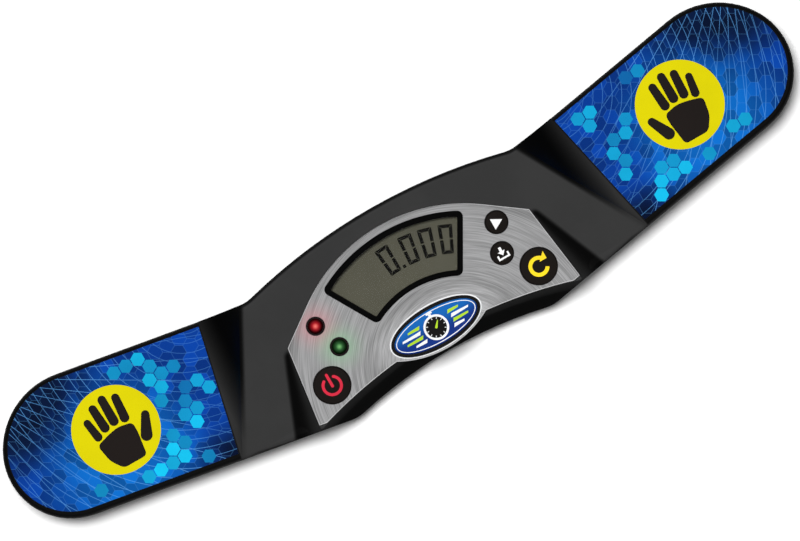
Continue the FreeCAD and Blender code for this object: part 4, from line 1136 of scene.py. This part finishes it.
def cell_finish():
    """Printed sleeve of a cell, with a copper-coloured band at one end."""
    finish = Finish("cell_wrap", 0.32, Metallic=0.3, Coat_Weight=0.3, Coat_Roughness=0.1)
    x, y = finish.place.xyz[:2]
    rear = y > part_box("front_cell")[1].y + 0.1 * MM
    along = x * (rear * -2.0 + 1.0)
    shade = (along < -12.0 * MM).mix((0.02, 0.022, 0.026), (0.50, 0.22, 0.09), "RGBA")
    shade = (along < -21.6 * MM).mix(shade, (0.55, 0.55, 0.56), "RGBA")
    finish.set("Base Color", finish.toned(shade, finish.grained(2500.0, 0.7)[1]))
    return finish.material


class TIMER_OT_dress_inside(bpy.types.Operator):
    """Board, wiring, cells and contacts"""
    bl_idname = "timer.dress_inside"
    bl_label = "Inside"

    def execute(self, context):
        dress("main_board", board_finish())
        dress("front_cell rear_cell", cell_finish())
        for names, finish, base, roughness, metallic in (
                ("lcd_frame", "holder_plastic", (0.62, 0.62, 0.60), 0.5, 0.0),
                ("zebra_strip", "strip_rubber", (0.45, 0.22, 0.30), 0.7, 0.0),
                ("controller_chip data_coupler resistors", "chip_black", (0.012, 0.012, 0.013), 0.5, 0.0),
                ("crystal capacitor", "can_metal", (0.62, 0.62, 0.63), 0.28, 1.0),
                ("tact_switches", "switch_steel", (0.5, 0.5, 0.5), 0.35, 1.0),
                ("power_plunger reset_plunger recall_plunger save_plunger", "plunger_plastic",
                 (0.02, 0.02, 0.02), 0.45, 0.0),
                ("left_sensor_plate right_sensor_plate", "sensor_copper", (0.72, 0.36, 0.20), 0.35, 1.0),
                ("sensor_leads socket_leads", "lead_sleeve", (0.42, 0.012, 0.012), 0.4, 0.0),
                ("contact_tab contact_spring contact_bridge", "contact_steel", (0.66, 0.65, 0.62), 0.22, 1.0),
                ("board_screws case_screws left_door_screw right_door_screw", "screw_steel",
                 (0.42, 0.42, 0.42), 0.32, 1.0),
                ("rubber_feet", "foot_rubber", (0.045, 0.045, 0.047), 0.8, 0.0),
                ("data_socket", "socket_black", (0.01, 0.01, 0.01), 0.45, 0.0)):
            dress(names, moulded(finish, base, roughness, grain=0.3, depth=0.008, wear=0.7,
                                 Metallic=metallic))
        return {"FINISHED"}


# Stage
def soft_light(name, place, size, radiance, diffuse=True, glossy=True):
    """Square light of one brightness, turned towards the timer."""
    light = bpy.data.lights.new(name, "AREA")
    light.shape = "SQUARE"
    light.size = size
    light.energy = radiance * math.pi * size * size
    lamp = bpy.data.objects.new(name, light)
    lamp.location = place
    lamp.rotation_euler = (-Vector(place)).to_track_quat("-Z", "Y").to_euler()
    lamp.visible_diffuse = diffuse
    lamp.visible_glossy = glossy
    bpy.context.scene.collection.objects.link(lamp)


def paper_finish(settings):
    """Plain paper that is clear from below, so the underside can be seen."""
    finish = Finish("floor_paper", 0.9, 0.0)
    finish.set("Base Color", finish.toned(settings.floor, finish.grained(900.0, 0.02)[1]))
    finish.set("Alpha", 1.0 - add(finish.tree, "ShaderNodeNewGeometry", output="Backfacing"))
    return finish.material


def add_camera(scene, settings, right):
    """Camera over the timer, leaning a little towards the user."""
    camera = bpy.data.cameras.new("camera")
    camera.lens = settings.lens / MM
    distance = settings.view_width * camera.lens / camera.sensor_width
    back = Vector((0.0, -math.sin(settings.lean), math.cos(settings.lean)))
    side = (right - back * right.dot(back)).normalized()
    aim = Vector((settings.centre_x, settings.centre_y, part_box("right_touch_pad")[1].z))
    viewer = bpy.data.objects.new("camera", camera)
    viewer.matrix_world = (Matrix.Translation(aim + back * distance)
                           @ Matrix((side, back.cross(side), back)).transposed().to_4x4())
    scene.collection.objects.link(viewer)
    scene.camera = viewer


class TIMER_OT_set_stage(bpy.types.Operator):
    """Plain floor, soft studio light and the camera"""
    bl_idname = "timer.set_stage"
    bl_label = "Stage"

    def execute(self, context):
        scene, settings = context.scene, context.scene.timer_stage
        scene.view_settings.view_transform = "Standard"
        mesh = bpy.data.meshes.new("floor")
        reach = 4.0
        mesh.from_pydata([(-reach, -reach, 0), (reach, -reach, 0), (reach, reach, 0), (-reach, reach, 0)],
                         [], [(0, 1, 2, 3)])
        mesh.materials.append(paper_finish(settings))
        floor = bpy.data.objects.new("floor", mesh)
        scene.collection.objects.link(floor)
        floor.visible_glossy = False
        floor.visible_shadow = False

        world = bpy.data.worlds.new("studio")
        world.use_nodes = True
        sky = world.node_tree.nodes["Background"].inputs
        sky["Color"].default_value = (1.0, 1.0, 1.0, 1.0)
        sky["Strength"].default_value = 0.12
        scene.world = world

        right = Vector((math.cos(settings.turn), -math.sin(settings.turn), 0.0))
        up = Vector((math.sin(settings.turn), math.cos(settings.turn), 0.0))
        key = (up - right).normalized() * 0.36 + Vector((0, 0, 2.18))
        soft_light("key", key, 0.62, 42.0, glossy=False)
        soft_light("overhead", (0.0, -0.1, 2.4), 1.5, 0.78)
        soft_light("rear_strip", (0.0, 2.1, 1.0), 1.1, 0.6, diffuse=False)
        soft_light("front_strip", (0.0, -2.1, 1.0), 1.1, 0.6, diffuse=False)
        soft_light("under", (0.0, -0.1, -1.6), 0.9, 11.0, glossy=False)
        add_camera(scene, settings, right)
        return {"FINISHED"}


class TIMER_PT_panel(bpy.types.Panel):
    """Buttons for each group of pieces"""
    bl_idname = "TIMER_PT_panel"
    bl_label = "Puzzle Timer"
    bl_space_type = "VIEW_3D"
    bl_region_type = "UI"
    bl_category = "Timer"

    def draw(self, context):
        for operator in OPERATORS:
            self.layout.operator(operator.bl_idname)
        for name in SETTINGS:
            box = self.layout.box()
            group = getattr(context.scene, name)
            for key in group.bl_rna.properties.keys():
                if key not in ("rna_type", "name"):
                    box.prop(group, key)


OPERATORS = (TIMER_OT_dress_case, TIMER_OT_dress_console, TIMER_OT_dress_display, TIMER_OT_dress_buttons,
             TIMER_OT_dress_lamps, TIMER_OT_dress_badge, TIMER_OT_dress_pads, TIMER_OT_dress_inside,
             TIMER_OT_set_stage)
SETTINGS = {"timer_case": CaseSettings, "timer_console": ConsoleSettings, "timer_display": DisplaySettings,
            "timer_buttons": ButtonSettings, "timer_badge": BadgeSettings, "timer_pads": PadSettings,
            "timer_stage": StageSettings}


def register():
    for name, settings in SETTINGS.items():
        bpy.utils.register_class(settings)
        setattr(bpy.types.Scene, name, PointerProperty(type=settings))
    for operator in OPERATORS:
        bpy.utils.register_class(operator)
    bpy.utils.register_class(TIMER_PT_panel)


def unregister():
    bpy.utils.unregister_class(TIMER_PT_panel)
    for operator in reversed(OPERATORS):
        bpy.utils.unregister_class(operator)
    for name, settings in SETTINGS.items():
        delattr(bpy.types.Scene, name)
        bpy.utils.unregister_class(settings)


def main():
    register()
    for operator in OPERATORS:
        group, name = operator.bl_idname.split(".")
        getattr(getattr(bpy.ops, group), name)()


if __name__ == "__main__":
    main()
